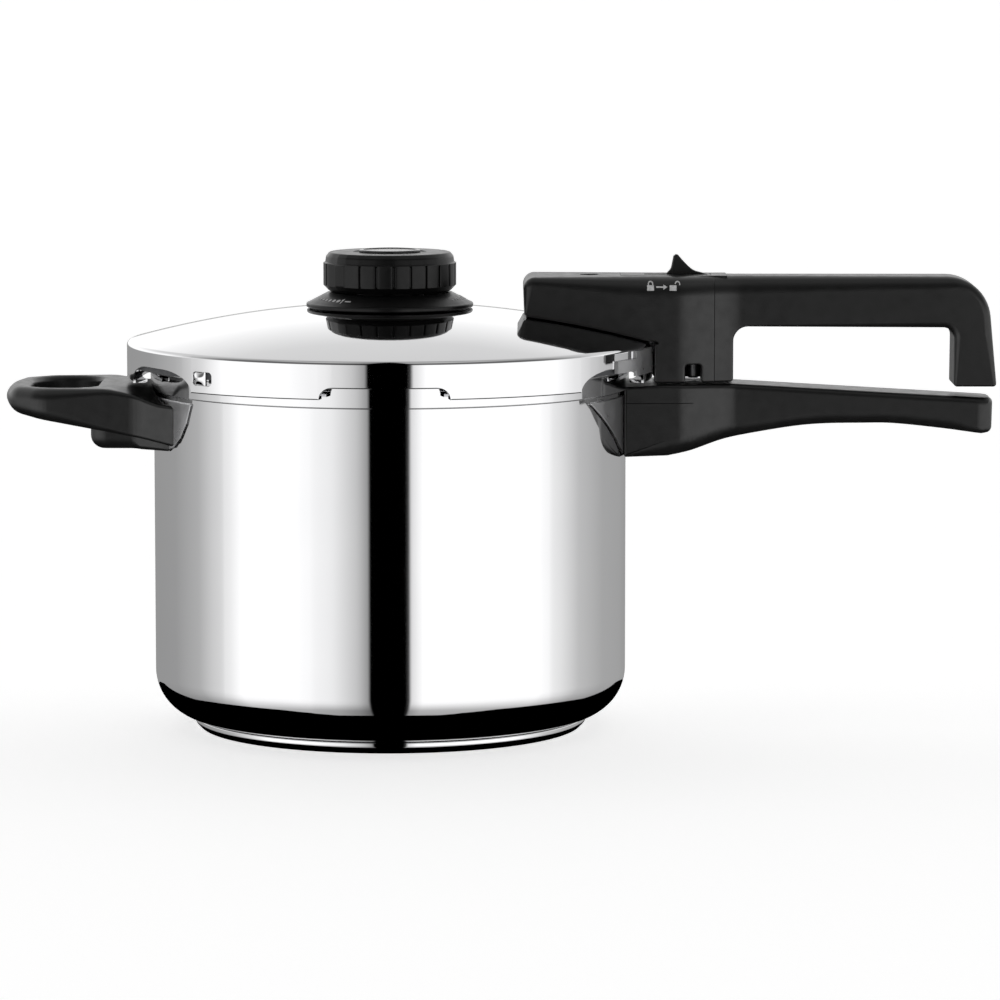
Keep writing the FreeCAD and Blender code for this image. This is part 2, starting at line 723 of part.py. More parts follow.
# ---------------------------------------------------------------- sealing ring and lid
def make_sealing_ring():
    turned_part("sealing_ring", [
        ("seal_inner_r", "seal_z"),
        ("seal_inner_r + seal_leg", "seal_z"),
        ("seal_inner_r + seal_leg", "seal_z + seal_height / 2"),
        ("seal_outer_r - seal_leg", "seal_z + seal_height / 2"),
        ("seal_outer_r - seal_leg", "seal_z"),
        ("seal_outer_r", "seal_z"),
        ("seal_outer_r", "seal_z + seal_height - 0.5"),
        ("seal_outer_r - 1", "seal_z + seal_height"),
        ("seal_inner_r + 1", "seal_z + seal_height"),
        ("seal_inner_r", "seal_z + seal_height - 1"),
    ])


def make_lid_shell():
    body = new_body("LidShell")
    inside = reversed_outline(lid_surface("(0 - lid_wall)"))
    revolve(body, lid_surface("0") + [
        ("skirt_r", "skirt_z"),
        ("lid_lug_r", "skirt_z"),
        ("lid_lug_r", "lid_lug_top_z"),
        ("skirt_inner_r", "lid_lug_top_z"),
    ] + inside)
    arch = draw(new_sketch(body, "XZ"), [
        ("-arch_half", "skirt_z - 1"),
        ("arch_half", "skirt_z - 1"),
        ("arch_half", "arch_top_z - arch_round", "left", "arch_round"),
        ("arch_half - arch_round", "arch_top_z"),
        ("arch_round - arch_half", "arch_top_z", "left", "arch_round"),
        ("-arch_half", "arch_top_z - arch_round"),
    ])
    repeat_around(body, pocket(body, arch, "skirt_r + 2", reverse=True), "lug_count")
    window = rectangle("-window_width / 2", "window_width / 2", "window_low_z",
                       "window_low_z + window_height")
    pocket(body, draw(new_sketch(body, "XZ", turn="0 - window_angle"), window), "skirt_r + 2",
           reverse=True)
    for x, radius in (("0", "lid_hole_r"), ("indicator_x", "indicator_hole_r"),
                      ("safety_x", "safety_shank_r")):
        drill(body, x, "0", radius, "dome_top_z + 1", "dome_top_z - skirt_z")
    return node(body, "lid_shell")


def make_lid_handle_bracket():
    """A channel welded on the dome. The handle sits over it and is screwed down to its web."""
    body = new_body("LidHandleBracket")
    side = rectangle("bracket_front_x", "bracket_back_x", "strap_z", "bracket_top_z")
    pad(body, draw(new_sketch(body, "XZ"), side), "2 * bracket_half_width", middle=True)
    inside = rectangle("bracket_front_x - 5", "bracket_back_x + 5", "strap_z - 1",
                       "bracket_top_z - bracket_sheet")
    pocket(body, draw(new_sketch(body, "XZ"), inside), "2 * (bracket_half_width - bracket_sheet)",
           middle=True)
    surface = lid_surface("0")
    revolve(body, surface + [("skirt_r", "skirt_z - 2"), ("0", "skirt_z - 2")], "Groove")
    drill(body, "indicator_x", "0", "grommet_r + 0.5", "bracket_top_z + 1", "bracket_sheet + 2")
    for side_sign in ("", "-"):
        drill(body, "handle_screw_x", side_sign + "handle_screw_spacing / 2", "handle_screw_r",
              "bracket_top_z + 1", "bracket_sheet + 2")
    return node(combine("Fuse", "HandleBracket", body, make_strap()), "lid_handle_bracket")


def make_strap():
    """A steel strap round the lid's skirt below its corner, with a taller cheek each side of the handle."""
    reach = "strap_outer_r * sin(strap_degrees / 2)"
    strap = bent_band("Strap", "strap_z", "strap_height", "strap_degrees", "-" + reach, reach)
    cheek_reach = "strap_outer_r * sin(cheek_degrees / 2)"
    edge = "root_half_width + 2.5"
    sides = (("LeftCheek", edge, cheek_reach), ("RightCheek", "-" + cheek_reach, "-(%s)" % edge))
    for name, low, high in sides:
        cheek = bent_band(name, "strap_z - cheek_drop", "strap_height + cheek_drop + cheek_rise",
                          "cheek_degrees", low, high)
        strap = combine("Fuse", name + "Joined", strap, cheek)
    return strap


def bent_band(name, low_z, height, degrees, low_y, high_y):
    """A piece of a thin ring round the skirt, between two places along Y."""
    ring = new_body(name + "Ring")
    revolve(ring, rectangle("strap_inner_r", "strap_outer_r", low_z, "%s + %s" % (low_z, height)))
    plan = rectangle("strap_outer_r * cos(%s / 2) - 3" % degrees, "strap_outer_r + 1", low_y, high_y)
    sector = new_body(name + "Sector")
    pad(sector, draw(new_sketch(sector, "XY", low_z), plan), height)
    return combine("Common", name, ring, sector)


# ---------------------------------------------------------------- lid handle
def make_lid_handle():
    body = new_body("LidHandle")
    side = [
        ("grip_front_x", "flat_z - 10"),
        ("block_end_x", "block_bottom_z"),
        ("block_end_x", "grip_under_z - 7", "right", "7"),
        ("block_end_x + 7", "grip_under_z"),
        ("tail_x - 5", "grip_under_z", "right", "5"),
        ("tail_x", "grip_under_z - 5"),
        ("tail_x", "tail_bottom_z"),
        ("grip_end_x", "tail_bottom_z"),
        ("grip_end_x - 2.6", "grip_top_z - 26.4"),
        ("grip_end_x - 6.5", "grip_top_z - 12.2"),
        ("grip_end_x - 16", "grip_top_z - 3.3"),
        ("grip_end_x - 26.3", "grip_top_z"),
        ("grip_front_x + 8", "grip_top_z"),
        ("grip_front_x + 2", "grip_top_z - 4"),
    ]
    side[1:1] = [("grip_front_x", "block_bottom_z")]
    pad(body, draw(new_sketch(body, "XZ"), side), "2 * root_half_width", middle=True)
    trim_plan(body, "root_half_width", "grip_half_width", "bolt_x - 2", "grip_end_x", "grip_front_x - 5")
    revolve(body, lid_surface("handle_to_lid") + [
        ("lid_clear_r", "corner_z"),
        ("lid_clear_r", "skirt_z - 2"),
        ("0", "skirt_z - 2"),
    ], "Groove")
    cavity = rectangle("cavity_front_x", "bracket_back_x + 1", "-(bracket_half_width + sliding_gap)",
                       "bracket_half_width + sliding_gap")
    pocket(body, draw(new_sketch(body, "XY", "cavity_top_z"), cavity), "cavity_top_z - skirt_z")
    drill(body, "indicator_x", "0", "indicator_hole_r", "grip_top_z + 1", "20")
    seat = rectangle("lock_front_x", "lock_back_x", "-cover_half_width", "cover_half_width")
    pocket(body, draw(new_sketch(body, "XY", "grip_top_z + 1"), seat), "cover_height + 1")
    tray = rectangle("lock_front_x + 1.5", "lock_back_x - 0.5", "-(cover_half_width - 1)",
                     "cover_half_width - 1")
    pocket(body, draw(new_sketch(body, "XY", "cover_z + 0.5"), tray), "cover_z + 0.5 - cavity_top_z - 2")
    well = rectangle("bolt_x - slider_travel - 4.8", "lock_back_x - 0.5", "-5", "5")
    pocket(body, draw(new_sketch(body, "XY", "cover_z"), well), "cover_z - lock_floor_z")
    drill(body, "bolt_x", "0", "bolt_r + running_gap", "lock_floor_z + 1", "30")
    notch = rectangle("bolt_x - 3.8", "bolt_x + 3.8", "block_bottom_z - 1", "bolt_notch_top_z")
    pocket(body, draw(new_sketch(body, "XZ"), notch), "3 * root_half_width", middle=True)
    for side_sign in ("", "-"):
        drill(body, "handle_screw_x", side_sign + "handle_screw_spacing / 2",
              "handle_screw_r + fitting_gap", "cavity_top_z + 5", "10")
    return node(body, "lid_handle")


def make_lid_handle_cover():
    body = new_body("LidHandleCover")
    plate = rectangle("lock_front_x + fitting_gap", "lock_back_x - fitting_gap",
                      "-(cover_half_width - fitting_gap)", "cover_half_width - fitting_gap")
    pad(body, draw(new_sketch(body, "XY", "cover_z"), plate), "cover_height")
    slot = rectangle("slot_front_x", "slot_back_x", "-(fin_half_width + sliding_gap)",
                     "fin_half_width + sliding_gap")
    pocket(body, draw(new_sketch(body, "XY", "grip_top_z + 1"), slot), "cover_height + 2")
    return node(body, "lid_handle_cover")


def make_lid_handle_screws():
    """Two short screws side by side in the lock tray."""
    screws = []
    head_z = "cavity_top_z + 2"
    for name, side_sign in (("LeftScrew", ""), ("RightScrew", "-")):
        shank = doc.addObject("Part::Cylinder", name + "Shank")
        bind(shank, Radius="handle_screw_r", Height="%s - bracket_top_z + bracket_sheet" % head_z,
             Placement__Base__x="handle_screw_x", Placement__Base__y=side_sign + "handle_screw_spacing / 2",
             Placement__Base__z="bracket_top_z - bracket_sheet")
        head = doc.addObject("Part::Cylinder", name + "Head")
        bind(head, Radius="screw_r", Height="1.8", Placement__Base__x="handle_screw_x",
             Placement__Base__y=side_sign + "handle_screw_spacing / 2", Placement__Base__z=head_z)
        screws.append(combine("Fuse", name, shank, head))
    return node(combine("Fuse", "HandleScrews", *screws), "lid_handle_screws")


# ---------------------------------------------------------------- pressure regulator
def make_regulator():
    nut = doc.addObject("Part::Prism", "NutBlank")
    nut.Polygon = 6
    bind(nut, Circumradius="nut_corner_r", Height="nut_height", Placement__Base__z="nut_z")
    nut_hole = doc.addObject("Part::Cylinder", "NutHole")
    bind(nut_hole, Radius="shank_r", Height="nut_height", Placement__Base__z="nut_z")
    node(combine("Cut", "Nut", nut, nut_hole), "regulator_nut")
    node(tube_solid("Gasket", "shank_r", "stem_flange_r", "gasket_z", "gasket_height"),
         "regulator_gasket")
    screen = new_body("InletScreen")
    revolve(screen, [
        ("0", "shank_z - screen_depth"),
        ("shank_r", "shank_z - screen_depth"),
        ("shank_r", "shank_z"),
        ("shank_r - screen_wall", "shank_z"),
        ("shank_r - screen_wall", "shank_z - screen_depth + screen_wall"),
        ("0", "shank_z - screen_depth + screen_wall"),
    ])
    hole = drill(screen, "shank_r / 2", "0", "screen_hole_r", "shank_z - screen_depth + 2", "4")
    repeat_around(screen, hole, "6")
    node(screen, "inlet_screen")
    turned_part("dial_ring", [
        ("shank_r + 0.3", "dial_bottom_z"),
        ("dial_r - 3.2", "dial_bottom_z"),
        ("dial_r - 2.2", "dial_bottom_z - 0.9"),
        ("dial_r", "dial_bottom_z - 1"),
        ("dial_r", "dial_bottom_z + 1.5"),
        ("dial_neck_r + 1.5", "dial_top_z - 0.6"),
        ("dial_neck_r", "dial_top_z"),
        ("dial_neck_r - 1.5", "dial_top_z"),
        ("dial_neck_r - 1.5", "flange_z"),
        ("shank_r + 0.3", "flange_z"),
    ])
    stem = new_body("ValveStem")
    groove_r = "(stem_tube_r - 0.9)"
    revolve(stem, [
        ("stem_inlet_r", "shank_z"),
        ("shank_r", "shank_z"),
        ("shank_r", "flange_z"),
        ("stem_flange_r", "flange_z"),
        ("stem_flange_r", "tube_z"),
        ("stem_tube_r", "tube_z"),
        ("stem_tube_r", "clip_z"),
        (groove_r, "clip_z"),
        (groove_r, "clip_z + clip_height"),
        ("stem_tube_r", "clip_z + clip_height"),
        ("stem_tube_r", "tube_top_z"),
        ("stem_bore_r", "tube_top_z"),
        ("stem_bore_r", "seat_z"),
        ("stem_inlet_r + 0.6", "seat_z"),
        ("stem_inlet_r", "seat_z - 0.6"),
    ])
    vent = draw_circle(new_sketch(stem, "XZ"), "0", "flange_z + 0.9", "0.8")
    repeat_around(stem, pocket(stem, vent, "stem_flange_r + 1", reverse=True), "4")
    node(stem, "valve_stem")
    turned_part("valve_plunger", [
        ("0", "seat_z - 1.8"),
        ("stem_inlet_r - 1.2", "seat_z - 1.8"),
        ("stem_inlet_r - 0.15", "seat_z - 0.6"),
        ("stem_inlet_r + 0.45", "seat_z"),
        ("stem_inlet_r + 0.45", "plunger_flange_z"),
        ("plunger_flange_r", "plunger_flange_z"),
        ("plunger_flange_r", "spring_z"),
        ("plunger_stem_r", "spring_z"),
        ("plunger_stem_r", "spring_z + spring_length - 3.5"),
        ("0", "spring_z + spring_length - 3.5"),
    ])
    coil_spring("regulator_spring", "spring_mean_r", "spring_wire_r", "spring_z", "spring_length", 4)
    make_spring_adjuster()
    make_knob()
    turned_part("knob_clip", rectangle(groove_r, "clip_r", "clip_z", "clip_z + clip_height"))


def make_spring_adjuster():
    """A screw plug in the stem, turned by a square key that slides in the knob."""
    body = new_body("SpringAdjuster")
    revolve(body, rectangle("0", "stem_bore_r - running_gap", "adjuster_z", "adjuster_top_z"))
    half = "adjuster_key / 2"
    key = rectangle("-" + half, half, "-" + half, half)
    pad(body, draw(new_sketch(body, "XY", "adjuster_top_z"), key), "adjuster_key_height")
    drill(body, "0", "0", "plunger_stem_r + 0.4", "key_top_z + 1", "key_top_z - adjuster_z + 2")
    return node(body, "spring_adjuster")


def make_knob():
    body = new_body("RegulatorKnob")
    bore = "(stem_tube_r + 2 * running_gap)"
    revolve(body, [
        (bore, "hub_z"),
        ("knob_hub_r", "hub_z"),
        ("knob_hub_r", "knob_plate_z"),
        ("knob_r - knob_wall", "knob_plate_z"),
        ("knob_r - knob_wall", "knob_z"),
        ("knob_r - 1", "knob_z"),
        ("knob_r", "knob_z + 1"),
        ("knob_r", "knob_top_z - 2.8"),
        ("knob_r - 2.4", "knob_top_z"),
        ("badge_r + 0.2", "knob_top_z"),
        ("badge_r + 0.2", "badge_z"),
        ("0", "badge_z"),
        ("0", "knob_plug_z"),
        ("stem_bore_r - 0.3", "knob_plug_z"),
        ("stem_bore_r - 0.3", "knob_plate_z - 1"),
        ("clip_r + 0.8", "knob_plate_z - 1"),
        ("clip_r + 0.8", "hub_shoulder_z"),
        (bore, "hub_shoulder_z"),
    ])
    half = "(adjuster_key / 2 + fitting_gap)"
    socket = rectangle("-" + half, half, "-" + half, half)
    pocket(body, draw(new_sketch(body, "XY", "knob_plate_z - 0.2"), socket),
           "knob_plate_z - knob_plug_z + 1")
    groove = draw_circle(new_sketch(body, "XY", "knob_top_z + 1"), "knob_r + knob_groove_r * 0.5", "0",
                         "knob_groove_r")
    repeat_around(body, pocket(body, groove, "knob_height - 1"), "knob_groove_count")
    node(body, "regulator_knob")
    disc = doc.addObject("Part::Cylinder", "BadgeDisc")
    bind(disc, Radius="badge_r", Height="badge_height", Placement__Base__z="badge_z")
    edges = [(index, 0.6, 0.6) for index, edge in enumerate(edges_of(disc), start=1)
             if edge.BoundBox.ZMin > value("badge_z + badge_height") - 0.01]
    badge = doc.addObject("Part::Fillet", "BadgeRounded")
    badge.Base = disc
    badge.Edges = edges
    node(badge, "knob_badge")


def edges_of(thing):
    doc.recompute()
    return thing.Shape.Edges


def coil_spring(label, mean_r, wire_r, low, length, turns, x="0"):
    """A compression spring that just fits between its two seats."""
    body = new_body(label.title().replace("_", ""))
    first = "%s + %s" % (low, wire_r)
    sketch = draw_circle(new_sketch(body, "XZ"), mean_r, first, wire_r)
    coil = body.newObject("PartDesign::AdditiveHelix", "Coil")
    coil.Profile = sketch
    coil.ReferenceAxis = (sketch, ["V_Axis"])
    coil.Mode = 0
    travel = "(%s - 2 * %s)" % (length, wire_r)
    bind(coil, Pitch="%s / %d" % (travel, turns), Height=travel)
    return node(body, label, x)


# ---------------------------------------------------------------- indicator and safety valve
def make_indicator():
    blank = new_body("GrommetBlank")
    revolve(blank, [
        ("indicator_pin_r + running_gap", "grommet_z"),
        ("grommet_r", "grommet_z"),
        ("grommet_r", "grommet_z + 6.6"),
        ("grommet_r - 1", "grommet_z + 7.4"),
        ("indicator_pin_r + running_gap", "grommet_z + 7.4"),
    ])
    bind(blank, Placement__Base__x="indicator_x")
    node(combine("Cut", "Grommet", blank, doc.getObject("LidShell")), "indicator_seal")
    turned_part("indicator_pin", [
        ("0", "indicator_head_z"),
        ("indicator_cap_r", "indicator_head_z"),
        ("indicator_cap_r", "indicator_head_z + 1.5"),
        ("indicator_pin_r", "indicator_head_z + 1.5"),
        ("indicator_pin_r", "indicator_top_z - 5"),
        ("indicator_cap_r", "indicator_top_z - 5"),
        ("indicator_cap_r", "indicator_top_z - 1"),
        ("indicator_cap_r - 1", "indicator_top_z"),
        ("0", "indicator_top_z"),
    ], "indicator_x")


def make_safety_valve():
    """A spring-loaded ball valve on the dome, under the front of the lid handle."""
    seat = "(safety_dome_z - 3)"
    turned_part("safety_valve_body", [
        ("1.3", seat + " - 3.5"),
        ("safety_body_r - 0.5", seat + " - 3.5"),
        ("safety_body_r - 0.5", seat + " - 1.5"),
        ("safety_shank_r", seat + " - 1.5"),
        ("safety_shank_r", "safety_dome_z + 9"),
        ("safety_bore_r", "safety_dome_z + 9"),
        ("safety_bore_r", seat),
        ("1.3", seat),
    ], "safety_x")
    ball = doc.addObject("Part::Sphere", "SafetyBall")
    bind(ball, Radius="safety_ball_r", Placement__Base__z=seat + " + sqrt(safety_ball_r^2 - 1.3^2)")
    node(ball, "safety_valve_ball", "safety_x")
    spring_low = seat + " + sqrt(safety_ball_r^2 - 1.3^2) + safety_ball_r"
    coil_spring("safety_valve_spring", "safety_bore_r - 0.7", "0.3", spring_low,
                "(safety_dome_z + 8.9 - (%s))" % spring_low, 5, "safety_x")
    turned_part("safety_valve_nut", [
        ("safety_shank_r", "safety_dome_z + 5.2"),
        ("safety_body_r", "safety_dome_z + 5.2"),
        ("safety_body_r", "safety_dome_z + 10.4"),
        ("1.3", "safety_dome_z + 10.4"),
        ("1.3", "safety_dome_z + 9"),
        ("safety_shank_r", "safety_dome_z + 9"),
    ], "safety_x")
    collar = new_body("SafetyCollarBlank")
    revolve(collar, [
        ("safety_shank_r", "safety_dome_z - 2"),
        ("safety_body_r", "safety_dome_z - 2"),
        ("safety_body_r", "safety_dome_z + 5.2"),
        ("safety_shank_r", "safety_dome_z + 5.2"),
    ])
    bind(collar, Placement__Base__x="safety_x")
    lid_fill = new_body("LidFill")
    revolve(lid_fill, lid_surface("0") + [("skirt_r", "skirt_z"), ("0", "skirt_z")])
    node(combine("Cut", "SafetyCollar", collar, lid_fill), "safety_valve_collar")


# ---------------------------------------------------------------- handle lock
def make_lock():
    slider = new_body("LockSlider")
    plate = rectangle("slider_front_x", "slider_back_x", "-slider_half_width", "slider_half_width")
    pad(slider, draw(new_sketch(slider, "XY", "slider_z"), plate), "slider_height")
    fin = draw(new_sketch(slider, "XZ"), [
        ("fin_front_x", "slider_top_z - 1"),
        ("fin_back_x", "slider_top_z - 1"),
        ("fin_back_x", "grip_top_z - 0.9"),
        ("fin_back_x - 4.2", "grip_top_z + 0.5"),
        ("fin_front_x + 6.1", "grip_top_z + fin_height"),
        ("fin_front_x + 3.3", "grip_top_z + fin_height - 0.9"),
        ("fin_front_x", "grip_top_z - 0.5"),
    ])
    pad(slider, fin, "2 * fin_half_width", middle=True)
    node(slider, "lock_slider")

    cam = new_body("LockCamPlate")
    outline = rectangle("cam_front_x", "cam_back_x", "cam_z", "slider_z")
    pad(cam, draw(new_sketch(cam, "XZ"), outline), "cam_thickness", middle=True)
    slope = "sqrt(slider_travel^2 + bolt_travel^2)"
    gap = "(follower_r + fitting_gap)"
    along_x, along_z = "%s * slider_travel / %s" % (gap, slope), "%s * bolt_travel / %s" % (gap, slope)
    end_x, end_z = "bolt_x + slider_travel", "follower_z - bolt_travel"
    slot = draw(new_sketch(cam, "XZ"), [
        ("bolt_x - %s - %s" % (along_x, along_z), "follower_z + %s - %s" % (along_z, along_x)),
        ("%s + %s - %s" % (end_x, along_x, along_z), "%s - %s - %s" % (end_z, along_z, along_x)),
        ("%s + %s + %s" % (end_x, along_x, along_z), "%s - %s + %s" % (end_z, along_z, along_x)),
        ("bolt_x - %s + %s" % (along_x, along_z), "follower_z + %s + %s" % (along_z, along_x)),
    ])
    pocket(cam, slot, "cam_thickness + 2", middle=True)
    node(cam, "lock_cam_plate")

    bolt = new_body("LockBolt")
    revolve(bolt, [
        ("0", "bolt_tip_z"),
        ("bolt_r - 0.8", "bolt_tip_z"),
        ("bolt_r", "bolt_tip_z + 0.8"),
        ("bolt_r", "bolt_head_z + 1"),
        ("0", "bolt_head_z + 1"),
    ])
    head = rectangle("-4", "4", "-4", "4")
    pad(bolt, draw(new_sketch(bolt, "XY", "bolt_head_z"), head), "bolt_head_top_z - bolt_head_z")
    fork = rectangle("-(cam_thickness / 2 + sliding_gap)", "cam_thickness / 2 + sliding_gap",
                     "cam_z - 1.5", "bolt_head_top_z + 1")
    pocket(bolt, draw(new_sketch(bolt, "YZ"), fork), "20", middle=True)
    pocket(bolt, draw_circle(new_sketch(bolt, "XZ"), "0", "follower_z", "follower_r"), "20", middle=True)
    node(bolt, "lock_bolt", "bolt_x")

    pin = doc.addObject("Part::Cylinder", "FollowerPin")
    pin.Placement = FreeCAD.Placement(FreeCAD.Vector(), FreeCAD.Rotation(FreeCAD.Vector(1, 0, 0), 90))
    bind(pin, Radius="follower_r", Height="8", Placement__Base__y="4", Placement__Base__z="follower_z")
    node(pin, "lock_follower_pin", "bolt_x")

    spring = new_body("DetentSpring")
    side = "slider_half_width + 0.3"
    leaf = draw(new_sketch(spring, "XY", "slider_z + 0.5"), [
        ("slider_front_x - 8", side + " + 0.5"),
        ("slider_front_x + 5", side),
        ("slider_front_x + 12", side + " + 0.5"),
        ("slider_front_x + 12", side + " + 0.5 + detent_sheet"),
        ("slider_front_x + 5", side + " + detent_sheet"),
        ("slider_front_x - 8", side + " + 0.5 + detent_sheet"),
    ])
    pad(spring, leaf, "slider_height - 1")
    node(spring, "slider_detent_spring")


make_pot_body()
make_base()
guard_plate("pot_handle_bracket", 1, "pot_tongue_x", "pot_screw_x", "pot_guard_half_top",
            "pot_guard_half_bottom", "pot_root_bottom_z + 3", "guard_top_z")
make_pot_handle()
handle_screw("pot_handle_screw", "pot_screw_x", "pot_screw_head_z")
make_strike_bush()
guard_plate("helper_handle_bracket", -1, "helper_tongue_x", "helper_screw_x", "helper_guard_half_top",
            "helper_guard_half_bottom", "helper_root_bottom_z + 2", "guard_top_z")
make_helper_handle()
handle_screw("helper_handle_screw", "-helper_screw_x", "helper_screw_head_z")
make_sealing_ring()
make_lid_shell()
make_lid_handle_bracket()
make_lid_handle()
make_lid_handle_cover()
make_lid_handle_screws()
make_regulator()
make_indicator()
make_safety_valve()
make_lock()
doc.recompute()

# ---------------------------------------------------------------- checks and export
for thing in doc.Objects:
    if {"Invalid", "Error"} & set(thing.State):
        raise RuntimeError("%s failed: %s" % (thing.Name, thing.State))
os.makedirs("parts", exist_ok=True)
for part in nodes:
    if part.Shape.isNull() or not part.Shape.isValid():
        raise RuntimeError("%s has no valid shape" % part.Label)
    part.Shape.exportStep("parts/%s.step" % part.Label)
    print("%-24s %8.1f mm3, %d solid(s)" % (part.Label, part.Shape.Volume, len(part.Shape.Solids)))
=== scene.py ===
"""Looks of the stovetop pressure cooker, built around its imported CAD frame.

Shapes are worked out in millimetres and turned into metres as each mesh is made.
"""

import json
import math

import bmesh
import bpy
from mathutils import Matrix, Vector
from mathutils.bvhtree import BVHTree


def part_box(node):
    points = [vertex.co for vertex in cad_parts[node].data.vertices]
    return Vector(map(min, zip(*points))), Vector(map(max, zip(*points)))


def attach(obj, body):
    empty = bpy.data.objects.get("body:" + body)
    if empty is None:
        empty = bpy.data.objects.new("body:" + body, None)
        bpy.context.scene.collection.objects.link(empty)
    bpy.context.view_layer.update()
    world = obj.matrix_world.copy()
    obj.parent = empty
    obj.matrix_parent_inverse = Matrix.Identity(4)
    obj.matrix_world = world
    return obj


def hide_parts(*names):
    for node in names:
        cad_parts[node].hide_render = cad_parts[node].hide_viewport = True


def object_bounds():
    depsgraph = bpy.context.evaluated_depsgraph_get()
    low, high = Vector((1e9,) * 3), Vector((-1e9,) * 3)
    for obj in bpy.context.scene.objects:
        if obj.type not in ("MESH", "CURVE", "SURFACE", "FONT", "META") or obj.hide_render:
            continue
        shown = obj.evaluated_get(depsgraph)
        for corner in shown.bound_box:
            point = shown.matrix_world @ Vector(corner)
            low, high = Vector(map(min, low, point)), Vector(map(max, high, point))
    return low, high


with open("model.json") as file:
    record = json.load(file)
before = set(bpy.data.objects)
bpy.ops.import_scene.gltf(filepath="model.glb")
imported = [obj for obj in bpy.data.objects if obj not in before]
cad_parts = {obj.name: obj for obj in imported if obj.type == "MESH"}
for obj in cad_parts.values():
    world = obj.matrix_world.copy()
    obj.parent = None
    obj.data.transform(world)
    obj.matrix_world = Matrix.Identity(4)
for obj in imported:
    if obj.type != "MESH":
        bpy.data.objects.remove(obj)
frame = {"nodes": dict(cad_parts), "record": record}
cad_box = [list(corner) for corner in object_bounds()]

MM = 0.001
DEGREE = math.pi / 180
SHARP = 40.0            # degrees between faces that makes their edge sharp
HALF_BLANK = 60.0       # half a slab's thickness before it is placed
PRINT_LIFT = 0.14       # how far a print stands off its surface
PRINT_THICKNESS = 0.1


def low(node, axis):
    """A CAD node's lowest coordinate along an axis, in millimetres."""
    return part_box(node)[0][axis] / MM


def high(node, axis):
    """A CAD node's highest coordinate along an axis, in millimetres."""
    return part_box(node)[1][axis] / MM


# -------------------------------- sizes, in millimetres
POT_R = 111.0
POT_WALL = 1.0
POT_STEP = 1.5
STEP_Z = 161.0
BOTTOM_ROUND = 22.5
POT_FLOOR_Z = low("pot_body", 2)
RIM_TOP_Z = high("pot_body", 2)
RIM_THICKNESS = 2.0
RIM_R = 115.0
POT_LUG_R = high("pot_body", 0)
POT_LUG_HALF = 13.0
LUG_PITCH = 60.0

SKIRT_R = high("lid_shell", 0)
SKIRT_Z = low("lid_shell", 2)
LID_WALL = 1.2
LID_HOLE_R = 8.2
LID_LUG_R = 116.5
CORNER_R = 2.0
DOME_R = 464.0
FLAT_R = 20.0
LID_TOP_Z = high("lid_shell", 2)
DOME_CENTRE_Z = LID_TOP_Z - math.sqrt(DOME_R ** 2 - FLAT_R ** 2)
CORNER_CENTRE_R = SKIRT_R - CORNER_R
CORNER_CENTRE_Z = DOME_CENTRE_Z + math.sqrt((DOME_R - CORNER_R) ** 2 - CORNER_CENTRE_R ** 2)
CORNER_END = math.degrees(math.asin(CORNER_CENTRE_R / (DOME_R - CORNER_R)))
ARCH_HALF = 30.0
ARCH_RISE = 5.5
ARCH_ROUND = 6.5
TALL_ARCHES = (210, 330)  # degrees, the arches in front of the two handles
TALL_RISE = 9.0
TALL_ROUND = 22.0
WINDOW_ANGLE = 42.6
WINDOW_HALF = 6.15
WINDOW_LOW = SKIRT_Z + 3.7
WINDOW_HIGH = SKIRT_Z + 10.1

GUARD_R = POT_R + 1.5
GUARD_SHEET = 0.9


def dome_z(radius, gap=0.0):
    """Height of the dome's outer surface, moved out by a gap."""
    return DOME_CENTRE_Z + math.sqrt((DOME_R + gap) ** 2 - radius ** 2)


# -------------------------------- plane outlines
def fillet(corners, closed=True, step=9.0):
    """Round the corners (x, y, radius) of an outline with arcs of short chords."""
    count = len(corners)
    path = []
    for index, (x, y, radius) in enumerate(corners):
        if radius <= 0 or (not closed and index in (0, count - 1)):
            path.append((x, y))
            continue
        here = Vector((x, y))
        back = (Vector(corners[index - 1][:2]) - here).normalized()
        ahead = (Vector(corners[(index + 1) % count][:2]) - here).normalized()
        half = back.angle(ahead) / 2
        if half > math.pi / 2 - 0.01:
            path.append((x, y))
            continue
        reach = radius / math.tan(half)
        centre = here + (back + ahead).normalized() * radius / math.sin(half)
        start = here + back * reach - centre
        sweep = math.pi - 2 * half
        turn = 1 if back.cross(ahead) < 0 else -1
        chords = max(2, math.ceil(sweep / (step * DEGREE)))
        for k in range(chords + 1):
            angle = turn * sweep * k / chords
            cos, sin = math.cos(angle), math.sin(angle)
            path.append((centre.x + start.x * cos - start.y * sin, centre.y + start.x * sin + start.y * cos))
    return path


def curve(points, steps=8):
    """Points of a smooth curve through a few points, as outline corners with no radius."""
    path = []
    for index in range(len(points) - 1):
        p0 = points[max(index - 1, 0)]
        p1, p2 = points[index], points[index + 1]
        p3 = points[min(index + 2, len(points) - 1)]
        for k in range(steps + (index == len(points) - 2)):
            t = k / steps
            path.append(tuple(
                0.5 * (2 * b + (c - a) * t + (2 * a - 5 * b + 4 * c - d) * t ** 2
                       + (3 * b - a - 3 * c + d) * t ** 3)
                for a, b, c, d in zip(p0, p1, p2, p3)) + (0,))
    return path


def arc(centre, radius, start, end, steps):
    """Points on a circle between two angles in degrees, with no radius of their own."""
    return [(centre[0] + radius * math.cos((start + (end - start) * k / steps) * DEGREE),
             centre[1] + radius * math.sin((start + (end - start) * k / steps) * DEGREE), 0)
            for k in range(steps + 1)]


def blend_between(value, start, end):
    """A smooth step from 0 to 1 between two values."""
    t = min(max((value - start) / (end - start), 0.0), 1.0)
    return t * t * (3 - 2 * t)


